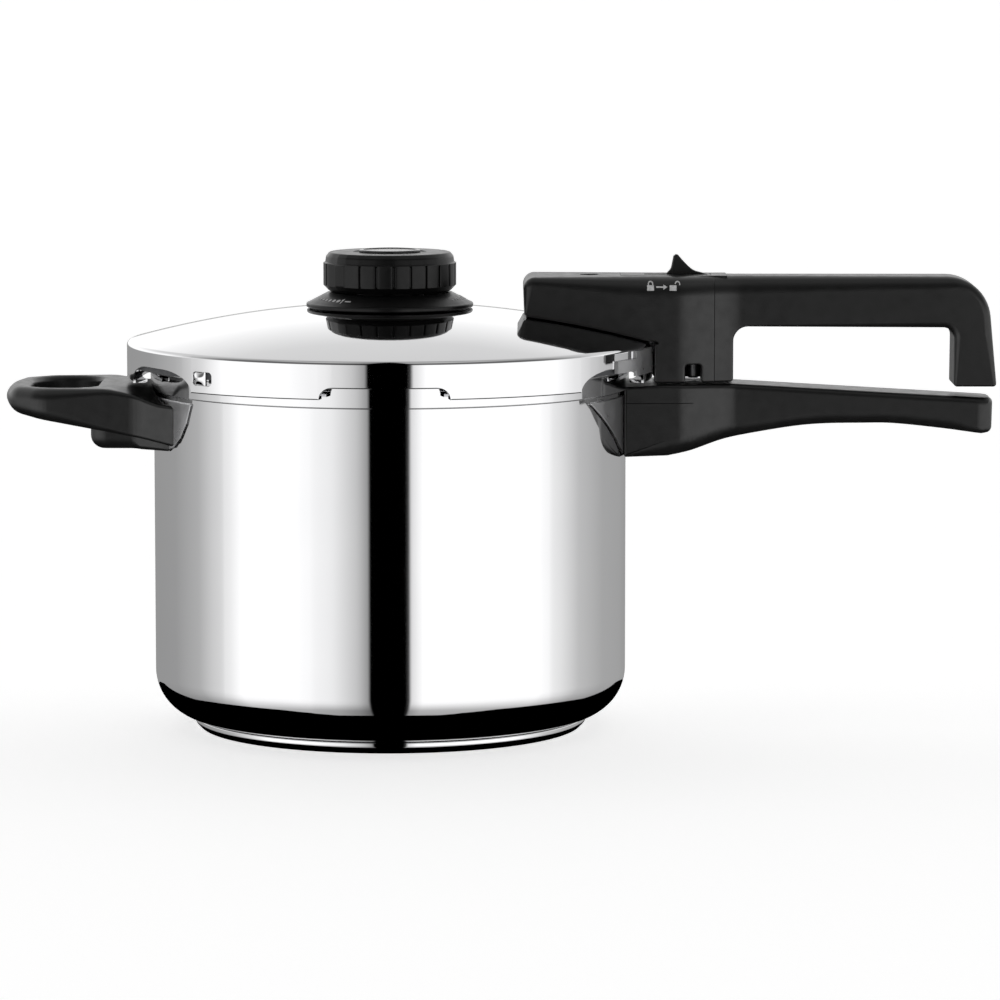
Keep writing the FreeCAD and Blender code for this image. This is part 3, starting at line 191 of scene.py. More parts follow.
# -------------------------------- meshes
def finish_mesh(name, bm, sharp=SHARP):
    """Scale a millimetre mesh to metres, merge its seams and shade it smooth."""
    bmesh.ops.remove_doubles(bm, verts=bm.verts, dist=0.0005)
    bmesh.ops.dissolve_degenerate(bm, edges=bm.edges, dist=0.0005)
    bmesh.ops.recalc_face_normals(bm, faces=bm.faces)
    bmesh.ops.scale(bm, vec=(MM, MM, MM), verts=bm.verts)
    mesh = bpy.data.meshes.new(name)
    bm.to_mesh(mesh)
    bm.free()
    mesh.shade_smooth()
    mesh.set_sharp_from_angle(angle=sharp * DEGREE)
    return mesh


def add_piece(name, mesh, slot, body, *nodes):
    """Put a mesh in the scene on a CAD body, in place of the nodes that it stands for."""
    piece = bpy.data.objects.new(name, mesh)
    bpy.context.scene.collection.objects.link(piece)
    mesh.materials.append(MATERIALS[slot] if slot else PRINT)
    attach(piece, body)
    if nodes:
        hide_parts(*nodes)
    weighted = piece.modifiers.new("Weighted normals", "WEIGHTED_NORMAL")
    weighted.keep_sharp = True
    return piece


def even_angles(count=180):
    return [360.0 * k / count for k in range(count)]


def lathe(profile, angles=None, closed=True):
    """Turn a profile about Z. It is a list of (radius, height), or a function of the angle in degrees."""
    angles = angles or even_angles()
    bm = bmesh.new()
    columns = []
    for angle in angles:
        points = profile(angle) if callable(profile) else profile
        cos, sin = math.cos(angle * DEGREE), math.sin(angle * DEGREE)
        columns.append([bm.verts.new((r * cos, r * sin, z)) for r, z in points])
    rows = len(columns[0])
    for index, column in enumerate(columns):
        after = columns[(index + 1) % len(columns)]
        for row in range(rows if closed else rows - 1):
            above = (row + 1) % rows
            bm.faces.new((column[row], after[row], after[above], column[above]))
    return bm


def slab(outline, edge, place, holes=(), cuts=(), levels=(), rounds=7):
    """A plate cut to a plane outline, with its edges rounded to a radius that varies along them.

    It is built 2 * HALF_BLANK thick and cut across at some places along both axes. Then place(u, v,
    side, depth) says where each point goes: side is the face it is nearer, and depth is how far below
    that face the rounding takes it.
    """
    bm = bmesh.new()
    rims = {1: [], -1: []}
    for path in (outline, *holes):
        count = len(path)
        area = sum(path[i - 1][0] * path[i][1] - path[i][0] * path[i - 1][1] for i in range(count))
        inner = 1 if (area > 0) == (path is outline) else -1
        first = {}
        for side in (1, -1):
            before = None
            for k in range(rounds + 1):
                angle = math.pi / 2 * k / rounds
                ring = []
                for i, (u, v) in enumerate(path):
                    along = Vector(path[(i + 1) % count][:2]) - Vector(path[i - 1][:2])
                    inward = Vector((-along.y, along.x)).normalized() * inner
                    radius = edge(u, v)
                    shift = inward * radius * (1 - math.cos(angle))
                    depth = radius * (1 - math.sin(angle))
                    ring.append(bm.verts.new((u + shift.x, v + shift.y, side * (HALF_BLANK - depth))))
                if before:
                    for i in range(count):
                        bm.faces.new((before[i - 1], before[i], ring[i], ring[i - 1]))
                first.setdefault(side, ring)
                before = ring
            rims[side] += [bm.edges.get((before[i - 1], before[i])) for i in range(count)]
        for i in range(count):
            bm.faces.new((first[1][i - 1], first[1][i], first[-1][i], first[-1][i - 1]))
    for side in (1, -1):
        bmesh.ops.triangle_fill(bm, use_beauty=True, edges=rims[side], normal=(0, 0, side))
    planes = [((u, 0, 0), (1, 0, 0)) for u in cuts] + [((0, v, 0), (0, 1, 0)) for v in levels]
    for point, normal in planes:
        bmesh.ops.bisect_plane(bm, geom=bm.verts[:] + bm.edges[:] + bm.faces[:],
                               plane_co=point, plane_no=normal, dist=0.0001)
    for vert in bm.verts:
        side = 1 if vert.co.z > 0 else -1
        vert.co = Vector(place(vert.co.x, vert.co.y, side, HALF_BLANK - abs(vert.co.z)))
    return bm


def box_cutter(low_corner, high_corner):
    bm = bmesh.new()
    bmesh.ops.create_cube(bm, size=1.0)
    for vert in bm.verts:
        vert.co = Vector(a + (b - a) * (c + 0.5) for a, b, c in zip(low_corner, high_corner, vert.co))
    return bm


def prism(path, places):
    """A solid whose cross sections are a closed path, put in space by each of some places(u, v)."""
    bm = bmesh.new()
    rings = [[bm.verts.new(place(*point[:2])) for point in path] for place in places]
    for ring, after in zip(rings, rings[1:]):
        for i in range(len(ring)):
            bm.faces.new((ring[i - 1], ring[i], after[i], after[i - 1]))
    bm.faces.new(rings[0])
    bm.faces.new(rings[-1])
    return bm


def round_cutter(x, y, radius, low_z, high_z):
    bm = bmesh.new()
    bmesh.ops.create_cone(bm, segments=64, radius1=radius, radius2=radius, depth=high_z - low_z,
                          cap_ends=True)
    bmesh.ops.translate(bm, verts=bm.verts, vec=(x, y, (low_z + high_z) / 2))
    return bm


def carve(mesh, *cutters):
    """Cut shapes, in millimetres, out of a finished mesh."""
    piece = bpy.data.objects.new("carving", mesh)
    bpy.context.scene.collection.objects.link(piece)
    tools = []
    for cutter in cutters:
        tool = bpy.data.objects.new("cutter", finish_mesh("cutter", cutter))
        bpy.context.scene.collection.objects.link(tool)
        step = piece.modifiers.new("cut", "BOOLEAN")
        step.operation = "DIFFERENCE"
        step.solver = "EXACT"
        step.object = tool
        tools.append(tool)
    result = bpy.data.meshes.new_from_object(piece.evaluated_get(bpy.context.evaluated_depsgraph_get()))
    result.name = mesh.name
    for thing in (piece, *tools):
        bpy.data.objects.remove(thing)
    result.shade_smooth()
    result.set_sharp_from_angle(angle=SHARP * DEGREE)
    return result


def spaced(start, end, step):
    count = max(1, round(abs(end - start) / step))
    return [start + (end - start) * k / count for k in range(count + 1)]


# -------------------------------- materials
def new_material(name):
    material = bpy.data.materials.new(name)
    material.use_nodes = True
    return material, material.node_tree, material.node_tree.nodes["Principled BSDF"]


def noise(tree, scale, detail=3.0, roughness=0.55, stretch=(1, 1, 1)):
    """Noise in the piece's own coordinates, in metres."""
    place = tree.nodes.new("ShaderNodeTexCoord")
    mapping = tree.nodes.new("ShaderNodeMapping")
    mapping.inputs["Scale"].default_value = stretch
    texture = tree.nodes.new("ShaderNodeTexNoise")
    texture.inputs["Scale"].default_value = scale
    texture.inputs["Detail"].default_value = detail
    texture.inputs["Roughness"].default_value = roughness
    tree.links.new(place.outputs["Object"], mapping.inputs["Vector"])
    tree.links.new(mapping.outputs["Vector"], texture.inputs["Vector"])
    return texture.outputs["Fac"]


def spread(tree, source, start, end):
    """Stretch a noise's middle range onto two limits."""
    node = tree.nodes.new("ShaderNodeMapRange")
    node.inputs["From Min"].default_value = 0.3
    node.inputs["From Max"].default_value = 0.7
    node.inputs["To Min"].default_value = start
    node.inputs["To Max"].default_value = end
    tree.links.new(source, node.inputs["Value"])
    return node.outputs["Result"]


def tone(tree, shader, source, dark, light):
    """Vary the base colour between two colours."""
    mix = tree.nodes.new("ShaderNodeMix")
    mix.data_type = "RGBA"
    mix.inputs["A"].default_value = (*dark, 1)
    mix.inputs["B"].default_value = (*light, 1)
    tree.links.new(spread(tree, source, 0, 1), mix.inputs["Factor"])
    tree.links.new(mix.outputs["Result"], shader.inputs["Base Color"])


def bump(tree, shader, source, depth):
    """Raise the surface by a noise, to a depth in metres."""
    node = tree.nodes.new("ShaderNodeBump")
    node.inputs["Strength"].default_value = 1.0
    node.inputs["Distance"].default_value = depth
    tree.links.new(source, node.inputs["Height"])
    tree.links.new(node.outputs["Normal"], shader.inputs["Normal"])


def polished_steel():
    """Mirror-polished stainless steel with faint wipe marks."""
    material, tree, shader = new_material("polished_steel")
    shader.inputs["Metallic"].default_value = 1.0
    tone(tree, shader, noise(tree, 9), (0.80, 0.80, 0.81), (0.84, 0.84, 0.845))
    wipes = noise(tree, 26, detail=5.0, stretch=(1, 1, 0.25))
    tree.links.new(spread(tree, wipes, 0.022, 0.05), shader.inputs["Roughness"])
    bump(tree, shader, noise(tree, 700, detail=2.0), 0.0000006)
    return material


def satin_steel():
    """Plain stainless steel of stamped and turned small parts."""
    material, tree, shader = new_material("satin_steel")
    shader.inputs["Metallic"].default_value = 1.0
    tone(tree, shader, noise(tree, 60), (0.66, 0.66, 0.67), (0.74, 0.74, 0.75))
    tree.links.new(spread(tree, noise(tree, 120), 0.26, 0.36), shader.inputs["Roughness"])
    bump(tree, shader, noise(tree, 900), 0.0000003)
    return material


def aluminium():
    material, tree, shader = new_material("aluminium")
    shader.inputs["Metallic"].default_value = 1.0
    tone(tree, shader, noise(tree, 80), (0.64, 0.64, 0.66), (0.74, 0.74, 0.76))
    tree.links.new(spread(tree, noise(tree, 700), 0.35, 0.5), shader.inputs["Roughness"])
    return material


def brass():
    material, tree, shader = new_material("brass")
    shader.inputs["Metallic"].default_value = 1.0
    tone(tree, shader, noise(tree, 90), (0.66, 0.50, 0.24), (0.76, 0.60, 0.33))
    tree.links.new(spread(tree, noise(tree, 900, stretch=(1, 1, 8)), 0.2, 0.34),
                   shader.inputs["Roughness"])
    return material


def moulded(name, dark, light, smooth, rough, grain, depth, sheen=0.5):
    """Black moulded plastic with a fine grain and a soft shine."""
    material, tree, shader = new_material(name)
    shader.inputs["Specular IOR Level"].default_value = sheen
    tone(tree, shader, noise(tree, 45, detail=4.0), dark, light)
    tree.links.new(spread(tree, noise(tree, 220, detail=4.0), smooth, rough), shader.inputs["Roughness"])
    bump(tree, shader, noise(tree, grain, detail=2.0), depth)
    return material


def seal_rubber():
    material, tree, shader = new_material("seal_rubber")
    tone(tree, shader, noise(tree, 70), (0.045, 0.046, 0.05), (0.075, 0.076, 0.08))
    tree.links.new(spread(tree, noise(tree, 400), 0.5, 0.68), shader.inputs["Roughness"])
    bump(tree, shader, noise(tree, 1600), 0.00001)
    return material


def white_print():
    """Thin white ink, a little worn."""
    material, tree, shader = new_material("white_print")
    tone(tree, shader, noise(tree, 900, detail=4.0), (0.55, 0.55, 0.55), (0.86, 0.86, 0.86))
    tree.links.new(spread(tree, noise(tree, 900), 0.45, 0.6), shader.inputs["Roughness"])
    return material


PRINT = white_print()
MATERIALS = {
    "polished_steel": polished_steel(),
    "satin_steel": satin_steel(),
    "aluminium": aluminium(),
    "brass": brass(),
    "seal_rubber": seal_rubber(),
    "handle_plastic": moulded("handle_plastic", (0.006, 0.006, 0.006), (0.008, 0.008, 0.008), 0.32, 0.42,
                              3200, 0.000007, 0.62),
    "knob_plastic": moulded("knob_plastic", (0.003, 0.003, 0.003), (0.005, 0.005, 0.005), 0.28, 0.38,
                            3200, 0.000006, 0.3),
    "slider_plastic": moulded("slider_plastic", (0.004, 0.004, 0.004), (0.007, 0.007, 0.007), 0.28, 0.38,
                              3200, 0.000007, 0.5),
    "badge": moulded("badge", (0.022, 0.022, 0.023), (0.034, 0.034, 0.035), 0.16, 0.24, 900, 0.000004),
}


def dress_cad_nodes():
    """Give every carried-over CAD node the material of its slot."""
    slots = {part["node"]: part["material_slot"] for part in frame["record"]["subparts"]}
    for name, node in frame["nodes"].items():
        node.data.materials.clear()
        node.data.materials.append(MATERIALS[slots[name]])


# -------------------------------- pot
def pot_body():
    outer_round = arc((POT_R - BOTTOM_ROUND, POT_FLOOR_Z + BOTTOM_ROUND), BOTTOM_ROUND, -90, 0, 24)
    inner_round = arc((POT_R - BOTTOM_ROUND, POT_FLOOR_Z + BOTTOM_ROUND), BOTTOM_ROUND - POT_WALL,
                      0, -90, 20)
    collar_r = POT_R + POT_STEP
    rim_z = RIM_TOP_Z - RIM_THICKNESS

    def profile(angle):
        off = abs((angle + LUG_PITCH / 2) % LUG_PITCH - LUG_PITCH / 2)
        lug = 1 - blend_between(off, POT_LUG_HALF - 0.6, POT_LUG_HALF)
        edge_r = RIM_R + (POT_LUG_R - RIM_R) * lug
        return fillet([
            (0, POT_FLOOR_Z, 0),
            *outer_round,
            (POT_R, STEP_Z - 0.5, 0.25),
            (collar_r, STEP_Z, 0.25),
            (collar_r, rim_z, 0.4),
            (edge_r, rim_z, 0.6),
            (edge_r, RIM_TOP_Z, 0.9),
            (collar_r - POT_WALL, RIM_TOP_Z, 0.4),
            (collar_r - POT_WALL, STEP_Z + 0.4, 1.2),
            (POT_R - POT_WALL, STEP_Z - POT_STEP + 0.2, 1.2),
            *inner_round,
            (0, POT_FLOOR_Z + POT_WALL, 0),
        ], closed=False)

    angles = set(even_angles(180))
    for lug in range(6):
        for side in (-1, 1):
            angles |= {(lug * LUG_PITCH + side * (POT_LUG_HALF - 0.6 + 0.15 * k)) % 360 for k in range(5)}
    bm = lathe(profile, sorted(angles), closed=False)
    add_piece("pot_body_shell", finish_mesh("pot_body_shell", bm), "polished_steel", "pot", "pot_body")


def base_cap():
    r, top = high("base_cap", 0), high("base_cap", 2)
    inner = r - 3.8
    profile = fillet([
        (0, 0, 0), (r - 3.0, 0, 2.4), (r, 3.0, 2.4), (r, top, 0.6), (inner, top, 0.3), (inner, 0.8, 0.3),
        (0, 0.8, 0),
    ], closed=False)
    bm = lathe(profile, closed=False)
    add_piece("base_cap_shell", finish_mesh("base_cap_shell", bm), "polished_steel", "pot", "base_cap")


def flame_guard(name, node, facing, halves):
    """A shield of sheet steel on the pot's wall. Its outline is (half width, height) from the bottom up."""
    outline = fillet([(half, z, 0.6) for half, z in halves]
                     + [(-half, z, 0.6) for half, z in reversed(halves)])
    widest = max(half for half, z in halves)

    def place(u, z, side, depth):
        r = POT_R + GUARD_SHEET - depth if side > 0 else POT_R - 0.3
        angle = math.asin(u / POT_R)
        return (facing * r * math.cos(angle), r * math.sin(angle), z)

    bm = slab(outline, lambda u, z: 0.35, place, cuts=spaced(-widest, widest, 3.0)[1:-1], rounds=3)
    add_piece(name, finish_mesh(name, bm), "satin_steel", "pot", node)


# -------------------------------- lid
def lid_shell():
    def corner(radius, angles):
        return [(CORNER_CENTRE_R + radius * math.sin(t * DEGREE),
                 CORNER_CENTRE_Z + radius * math.cos(t * DEGREE)) for t in angles]

    outer = corner(CORNER_R, spaced(90, CORNER_END, 10))
    inner = corner(CORNER_R - LID_WALL, spaced(CORNER_END, 90, 25))
    dome_out = [(r, dome_z(r)) for r in spaced(outer[-1][0] - 2, FLAT_R, 3.0)]
    dome_in = [(r, dome_z(r, -LID_WALL)) for r in spaced(FLAT_R, inner[0][0] - 2, 4.0)]
    lug_top = 1.4
    skirt_in = SKIRT_R - LID_WALL

    def skirt_bottom(along, rise, bend):
        """Height of the skirt's lower edge, and how much of the lug is there."""
        if along <= ARCH_HALF - bend:
            return SKIRT_Z + rise, 0.0
        if along < ARCH_HALF:
            share = (along - ARCH_HALF + bend) / bend
            return SKIRT_Z + rise * math.sqrt(1 - share ** 2), 0.0
        return SKIRT_Z, min((along - ARCH_HALF) / 0.5, 1.0)

    def profile(angle):
        along = SKIRT_R * DEGREE * abs(angle % LUG_PITCH - LUG_PITCH / 2)
        tall = min(abs(angle - centre) for centre in TALL_ARCHES) < LUG_PITCH / 2
        bottom, lug = skirt_bottom(along, *((TALL_RISE, TALL_ROUND) if tall else (ARCH_RISE, ARCH_ROUND)))
        bend = 0.3 + 0.4 * lug
        flange_r = skirt_in - (skirt_in - LID_LUG_R) * lug
        side = [(SKIRT_R, WINDOW_HIGH + 2), (SKIRT_R, max(WINDOW_LOW + 2, bottom + 0.5))]
        edge = [(SKIRT_R - bend * (1 - math.cos(t * DEGREE)), bottom + bend * (1 - math.sin(t * DEGREE)))
                for t in spaced(0, 90, 15)]
        top = bottom + lug_top * lug
        back = [(flange_r, bottom), (flange_r, top), (skirt_in, top + 0.01), (skirt_in, WINDOW_HIGH + 2)]
        return [(LID_HOLE_R, LID_TOP_Z), *reversed(dome_out), *reversed(outer), *side, *edge,
                *back, *reversed(inner), *reversed(dome_in), (LID_HOLE_R, LID_TOP_Z - LID_WALL)]

    marks = spaced(0, ARCH_HALF - ARCH_ROUND, 4)[:-1]
    marks += [ARCH_HALF - ARCH_ROUND + ARCH_ROUND * math.sin(t * DEGREE) for t in spaced(0, 90, 9)]
    marks += [ARCH_HALF + 0.15, ARCH_HALF + 0.3, ARCH_HALF + 0.5]
    marks += spaced(ARCH_HALF + 0.5, SKIRT_R * LUG_PITCH / 2 * DEGREE, 4)[1:]
    angles = {round((arch * LUG_PITCH + LUG_PITCH / 2 + side * mark / SKIRT_R / DEGREE) % 360, 4)
              for arch in range(6) for mark in marks for side in (-1, 1)}
    mesh = carve(finish_mesh("lid_dome", lathe(profile, sorted(angles)), 50), window_cutter())
    add_piece("lid_dome", mesh, "polished_steel", "lid", "lid_shell")


def around_skirt(radius):
    """Places (u, z) at a radius, u being the way along the skirt from the window's middle."""
    def place(u, z):
        angle = (270 - WINDOW_ANGLE) * DEGREE + u / SKIRT_R
        return (radius * math.cos(angle), radius * math.sin(angle), z)
    return place


def window_cutter():
    half, low_z, high_z = WINDOW_HALF, WINDOW_LOW, WINDOW_HIGH
    path = fillet([(-half, low_z, 2.0), (half, low_z, 2.0), (half, high_z, 2.0), (-half, high_z, 2.0)])
    return prism(path, (around_skirt(SKIRT_R - 4), around_skirt(SKIRT_R + 4)))


def window_tab():
    """The tongue of the skirt that is pressed out a little beside the window's open slot."""
    left, right = -WINDOW_HALF + 0.15, WINDOW_HALF * 0.3
    low_z, high_z = WINDOW_LOW + 0.15, WINDOW_HIGH - 0.15
    columns, rows = 16, 12
    bm = bmesh.new()
    for reach in (0.0, -0.9):
        grid = []
        for i in range(columns + 1):
            line = []
            for j in range(rows + 1):
                u = left + (right - left) * i / columns
                z = low_z + (high_z - low_z) * j / rows
                bulge = math.sin(math.pi * i / columns) * math.sin(math.pi * j / rows)
                line.append(bm.verts.new(around_skirt(SKIRT_R - 0.5 + reach + 1.2 * bulge)(u, z)))
            grid.append(line)
        for i in range(columns):
            for j in range(rows):
                bm.faces.new((grid[i][j], grid[i + 1][j], grid[i + 1][j + 1], grid[i][j + 1]))
    rims = [edge for edge in bm.edges if len(edge.link_faces) == 1]
    bmesh.ops.bridge_loops(bm, edges=rims)
    add_piece("safety_window_tab", finish_mesh("safety_window_tab", bm), "polished_steel", "lid")


# -------------------------------- lid handle
GRIP_TOP_Z = high("lid_handle", 2)
GRIP_FRONT_X = low("lid_handle", 0)
GRIP_END_X = high("lid_handle", 0)
TAIL_BOTTOM_Z = low("lid_handle", 2)
TAIL_X = GRIP_END_X - 20.2
ROOT_HALF = high("lid_handle", 1)
GRIP_HALF = 14.5
BLOCK_BOTTOM_Z = TAIL_BOTTOM_Z + 2.4
BLOCK_FRONT_X = SKIRT_R + 2.2
BLOCK_END_X = GRIP_END_X - 123.6
GRIP_UNDER_Z = GRIP_TOP_Z - 24.1
BOLT_X = (low("lock_bolt", 0) + high("lock_bolt", 0)) / 2
SEAM_X = BOLT_X + 9.2
INDICATOR_X = (low("indicator_pin", 0) + high("indicator_pin", 0)) / 2


def lid_handle():
    """The long handle: a block over the dome and the lock, a grip, and a tail that turns down."""
    under_dome = [(x, dome_z(math.hypot(x, ROOT_HALF - 1.5), 0.5), 0)
                  for x in spaced(BLOCK_FRONT_X - 5.5, GRIP_FRONT_X + 2.6, 4.0)]
    outline = fillet([
        *under_dome,
        (GRIP_FRONT_X + 1.6, under_dome[-1][1] + 1.6, 1.3),
        (GRIP_FRONT_X + 1.4, GRIP_TOP_Z - 0.2, 5.4),
        (GRIP_FRONT_X + 60, GRIP_TOP_Z - 0.1, 0),
        (GRIP_END_X - 4.7, GRIP_TOP_Z - 0.5, 20.5),
        (GRIP_END_X - 2.3, TAIL_BOTTOM_Z + 25.5, 30),
        (GRIP_END_X - 0.1, TAIL_BOTTOM_Z, 1.6),
        (TAIL_X, TAIL_BOTTOM_Z, 1.6),
        (TAIL_X, GRIP_UNDER_Z - 0.2, 5.0),
        (BLOCK_END_X, GRIP_UNDER_Z + 0.5, 7.0),
        (BLOCK_END_X, BLOCK_BOTTOM_Z, 1.6),
        (BOLT_X + 3.1, BLOCK_BOTTOM_Z, 1.3),
        (BOLT_X + 3.1, BLOCK_BOTTOM_Z + 8.4, 1.5),
        (BOLT_X - 4.5, BLOCK_BOTTOM_Z + 8.4, 1.5),
        (BOLT_X - 4.5, BLOCK_BOTTOM_Z, 1.3),
        (BLOCK_FRONT_X, BLOCK_BOTTOM_Z, 1.4),
        (BLOCK_FRONT_X, CORNER_CENTRE_Z + 1.9, 1.5),
    ], step=6)

    def edge(x, z):
        upper = blend_between(z, GRIP_TOP_Z - 14, GRIP_TOP_Z - 8)
        front = blend_between(x, GRIP_FRONT_X + 5, GRIP_FRONT_X + 18)
        shoulder = 3.8 + 6.0 * front * (1 - 0.6 * blend_between(x, BLOCK_END_X - 22, BLOCK_END_X + 5))
        shoulder -= 2.4 * blend_between(x, TAIL_X - 4, TAIL_X + 8)
        outer = blend_between(x, TAIL_X + 6, TAIL_X + 12)
        tail = blend_between(z, TAIL_BOTTOM_Z, TAIL_BOTTOM_Z + 6)
        under = blend_between(x, BLOCK_END_X + 8, BLOCK_END_X + 16)
        return 1.1 + max((shoulder - 1.1) * upper, 2.4 * under * tail, 2.7 * outer * tail)

    def place(x, z, side, depth):
        half = ROOT_HALF + (GRIP_HALF - ROOT_HALF) * blend_between(x, BLOCK_END_X - 27, BLOCK_END_X + 4)
        if abs(x - SEAM_X) < 0.1:
            half -= 0.25
        y = side * (half - depth)
        bulge = 1 - (y / ROOT_HALF) ** 2
        x -= 1.3 * bulge * (1 - blend_between(x, GRIP_FRONT_X, GRIP_FRONT_X + 14))
        if z < CORNER_CENTRE_Z + 1:
            hug = BLOCK_FRONT_X - math.sqrt(BLOCK_FRONT_X ** 2 - y ** 2)
            x -= hug * (1 - blend_between(x, BLOCK_FRONT_X, BLOCK_FRONT_X + 8))
        return (x, y, z)

    seam = [SEAM_X - 0.2, SEAM_X, SEAM_X + 0.2]
    waist = [x for x in spaced(BLOCK_END_X - 28, BLOCK_END_X + 5, 1.0) if abs(x - SEAM_X) > 0.4]
    front = spaced(GRIP_FRONT_X + 3, GRIP_FRONT_X + 15, 2.0)
    bm = slab(outline, edge, place, cuts=front + waist + seam)
    mesh = finish_mesh("lid_handle_grip", bm)
    cover_low, cover_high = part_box("lid_handle_cover")
    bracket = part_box("lid_handle_bracket")
    cavity_top = bracket[1][2] / MM + 1.4
    lock_floor = BLOCK_BOTTOM_Z + 12
    gap = 0.1
    seat = box_cutter([v / MM - gap for v in cover_low],
                      (cover_high[0] / MM + gap, cover_high[1] / MM + gap, cover_high[2] / MM + 1))
    tray = box_cutter((cover_low[0] / MM + 1.5, cover_low[1] / MM + 1, cavity_top + 2),
                      (cover_high[0] / MM - 0.5, cover_high[1] / MM - 1, cover_high[2] / MM - 0.7))
    well = box_cutter((BOLT_X - 14.8, -5, lock_floor), (cover_high[0] / MM - 0.5, 5, cavity_top + 3))
    cavity = box_cutter((low("safety_valve_nut", 0) - 2, -11.3, SKIRT_Z - 5),
                        (BLOCK_FRONT_X - 0.4, 11.3, cavity_top))
    bore = round_cutter(BOLT_X, 0, 3.15, BLOCK_BOTTOM_Z + 6, lock_floor + 1)
    port = round_cutter(INDICATOR_X, 0, 4.5, cavity_top - 1, GRIP_TOP_Z + 2)
    mesh = carve(mesh, seat, tray, well, cavity, bore, port)
    add_piece("lid_handle_grip", mesh, "handle_plastic", "lid", "lid_handle")
    lock_signs(mesh)
    back = slab(fillet([(BOLT_X - 5, BLOCK_BOTTOM_Z + 0.3, 0.5), (BOLT_X + 4, BLOCK_BOTTOM_Z + 0.3, 0.5),
                        (BOLT_X + 4, BLOCK_BOTTOM_Z + 9, 0.5), (BOLT_X - 5, BLOCK_BOTTOM_Z + 9, 0.5)]),
                lambda x, z: 0.4, lambda x, z, side, depth: (x, 8.0 + depth if side < 0 else 19.0 - depth, z),
                rounds=3)
    add_piece("lock_notch_back", finish_mesh("lock_notch_back", back), "handle_plastic", "lid")


def lock_signs(surface):
    """Two small padlocks printed on the near flank: one shut, and one with its shackle swung open."""
    shapes = []
    for x, swing in ((BOLT_X - 22.4, 0), (BOLT_X - 11.9, 1)):
        z = GRIP_TOP_Z - 6.2
        shapes.append([(x, z, 0), (x + 3.2, z, 0), (x + 3.2, z + 2.4, 0), (x, z + 2.4, 0)])
        middle = x + 1.6 + 2.1 * swing
        outer = arc((middle, z + 3.1), 1.25, 0, 180, 10)
        inner = arc((middle, z + 3.1), 0.75, 180, 0, 10)
        foot = z + 2.5
        shapes.append([(middle + 1.25, foot, 0), *outer, (middle - 1.25, foot + 0.5 * swing, 0),
                       (middle - 0.75, foot + 0.5 * swing, 0), *inner, (middle + 0.75, foot, 0)])
    arrow_z = GRIP_TOP_Z - 4.6
    arrow_start, arrow_head, arrow_tip = BOLT_X - 18.2, BOLT_X - 14.8, BOLT_X - 13.0
    shapes.append([(arrow_start, arrow_z - 0.3, 0), (arrow_head, arrow_z - 0.3, 0),
                   (arrow_head, arrow_z - 1.1, 0), (arrow_tip, arrow_z, 0), (arrow_head, arrow_z + 1.1, 0),
                   (arrow_head, arrow_z + 0.3, 0), (arrow_start, arrow_z + 0.3, 0)])
    printed("lock_signs", shapes, surface, lambda x, z: (x, -HALF_BLANK, z), (0, 1, 0), "lid")


def printed(name, shapes, surface, place, aim, body):
    """Flat marks cast along an aim onto a mesh, and lifted off it by the thickness of their ink."""
    tree = BVHTree.FromPolygons([vert.co / MM for vert in surface.vertices],
                                [polygon.vertices for polygon in surface.polygons])
    bm = bmesh.new()
    for shape in shapes:
        ring = [bm.verts.new((*point[:2], 0)) for point in shape]
        edges = [bm.edges.new((ring[i - 1], ring[i])) for i in range(len(ring))]
        bmesh.ops.triangle_fill(bm, use_beauty=True, edges=edges, normal=(0, 0, 1))
    top = {}
    for vert in bm.verts[:]:
        point = tree.ray_cast(place(vert.co.x, vert.co.y), Vector(aim))[0]
        top[vert] = point - Vector(aim) * PRINT_LIFT
    for vert, point in top.items():
        vert.co = point
    bmesh.ops.solidify(bm, geom=bm.faces[:], thickness=PRINT_THICKNESS)
    add_piece(name, finish_mesh(name, bm), None, body)


def lock_slider():
    """The lock's slide plate, with a thumb fin shaped like a shark's."""
    x0, x1 = low("lock_slider", 0), high("lock_slider", 0)
    z0, z1 = low("lock_slider", 2), high("lock_slider", 2)
    plate_top = z0 + 3.6
    bm = slab(fillet([(x0, z0, 0.5), (x1, z0, 0.5), (x1, plate_top, 0.5), (x0, plate_top, 0.5)]),
              lambda x, z: 0.4, lambda x, z, side, depth: (x, side * (8.0 - depth), z), rounds=3)
    base = finish_mesh("lock_plate", bm)
    front, back = BOLT_X - 12.9, BOLT_X + 7.8
    slope = curve([(back, GRIP_TOP_Z - 0.2), (back - 3.6, GRIP_TOP_Z + 0.7), (back - 8.4, GRIP_TOP_Z + 2.3),
                   (front + 8.0, GRIP_TOP_Z + 6.3), (front + 5.6, z1 - 0.3)], 6)
    rise = curve([(front + 3.4, z1 - 0.8), (front + 2.7, GRIP_TOP_Z + 5.2), (front + 2.0, GRIP_TOP_Z + 2.6),
                  (front, GRIP_TOP_Z + 0.4)], 5)
    fin = fillet([(front, plate_top - 1, 0), (back, plate_top - 1, 0), *slope, (front + 4.5, z1, 0), *rise])
    bm = slab(fin, lambda x, z: 0.7, lambda x, z, side, depth: (x, side * (2.3 - depth), z), rounds=4)
    blade = finish_mesh("lock_fin", bm)
    bm = bmesh.new()
    for mesh in (base, blade):
        bm.from_mesh(mesh)
    mesh = bpy.data.meshes.new("lock_slider_fin")
    bm.to_mesh(mesh)
    bm.free()
    mesh.shade_smooth()
    mesh.set_sharp_from_angle(angle=SHARP * DEGREE)
    add_piece("lock_slider_fin", mesh, "slider_plastic", "slider", "lock_slider")


# -------------------------------- pot handles
POT_GRIP_END_X = high("pot_handle", 0)
POT_GRIP_TOP_Z = high("pot_handle", 2)
POT_ROOT_BOTTOM_Z = low("pot_handle", 2)
POT_ROOT_HALF = high("pot_handle", 1)
POT_GRIP_HALF = 14.0
WALL_R = POT_R + GUARD_SHEET + 0.1
PARTING_Z = POT_GRIP_TOP_Z - 8.4


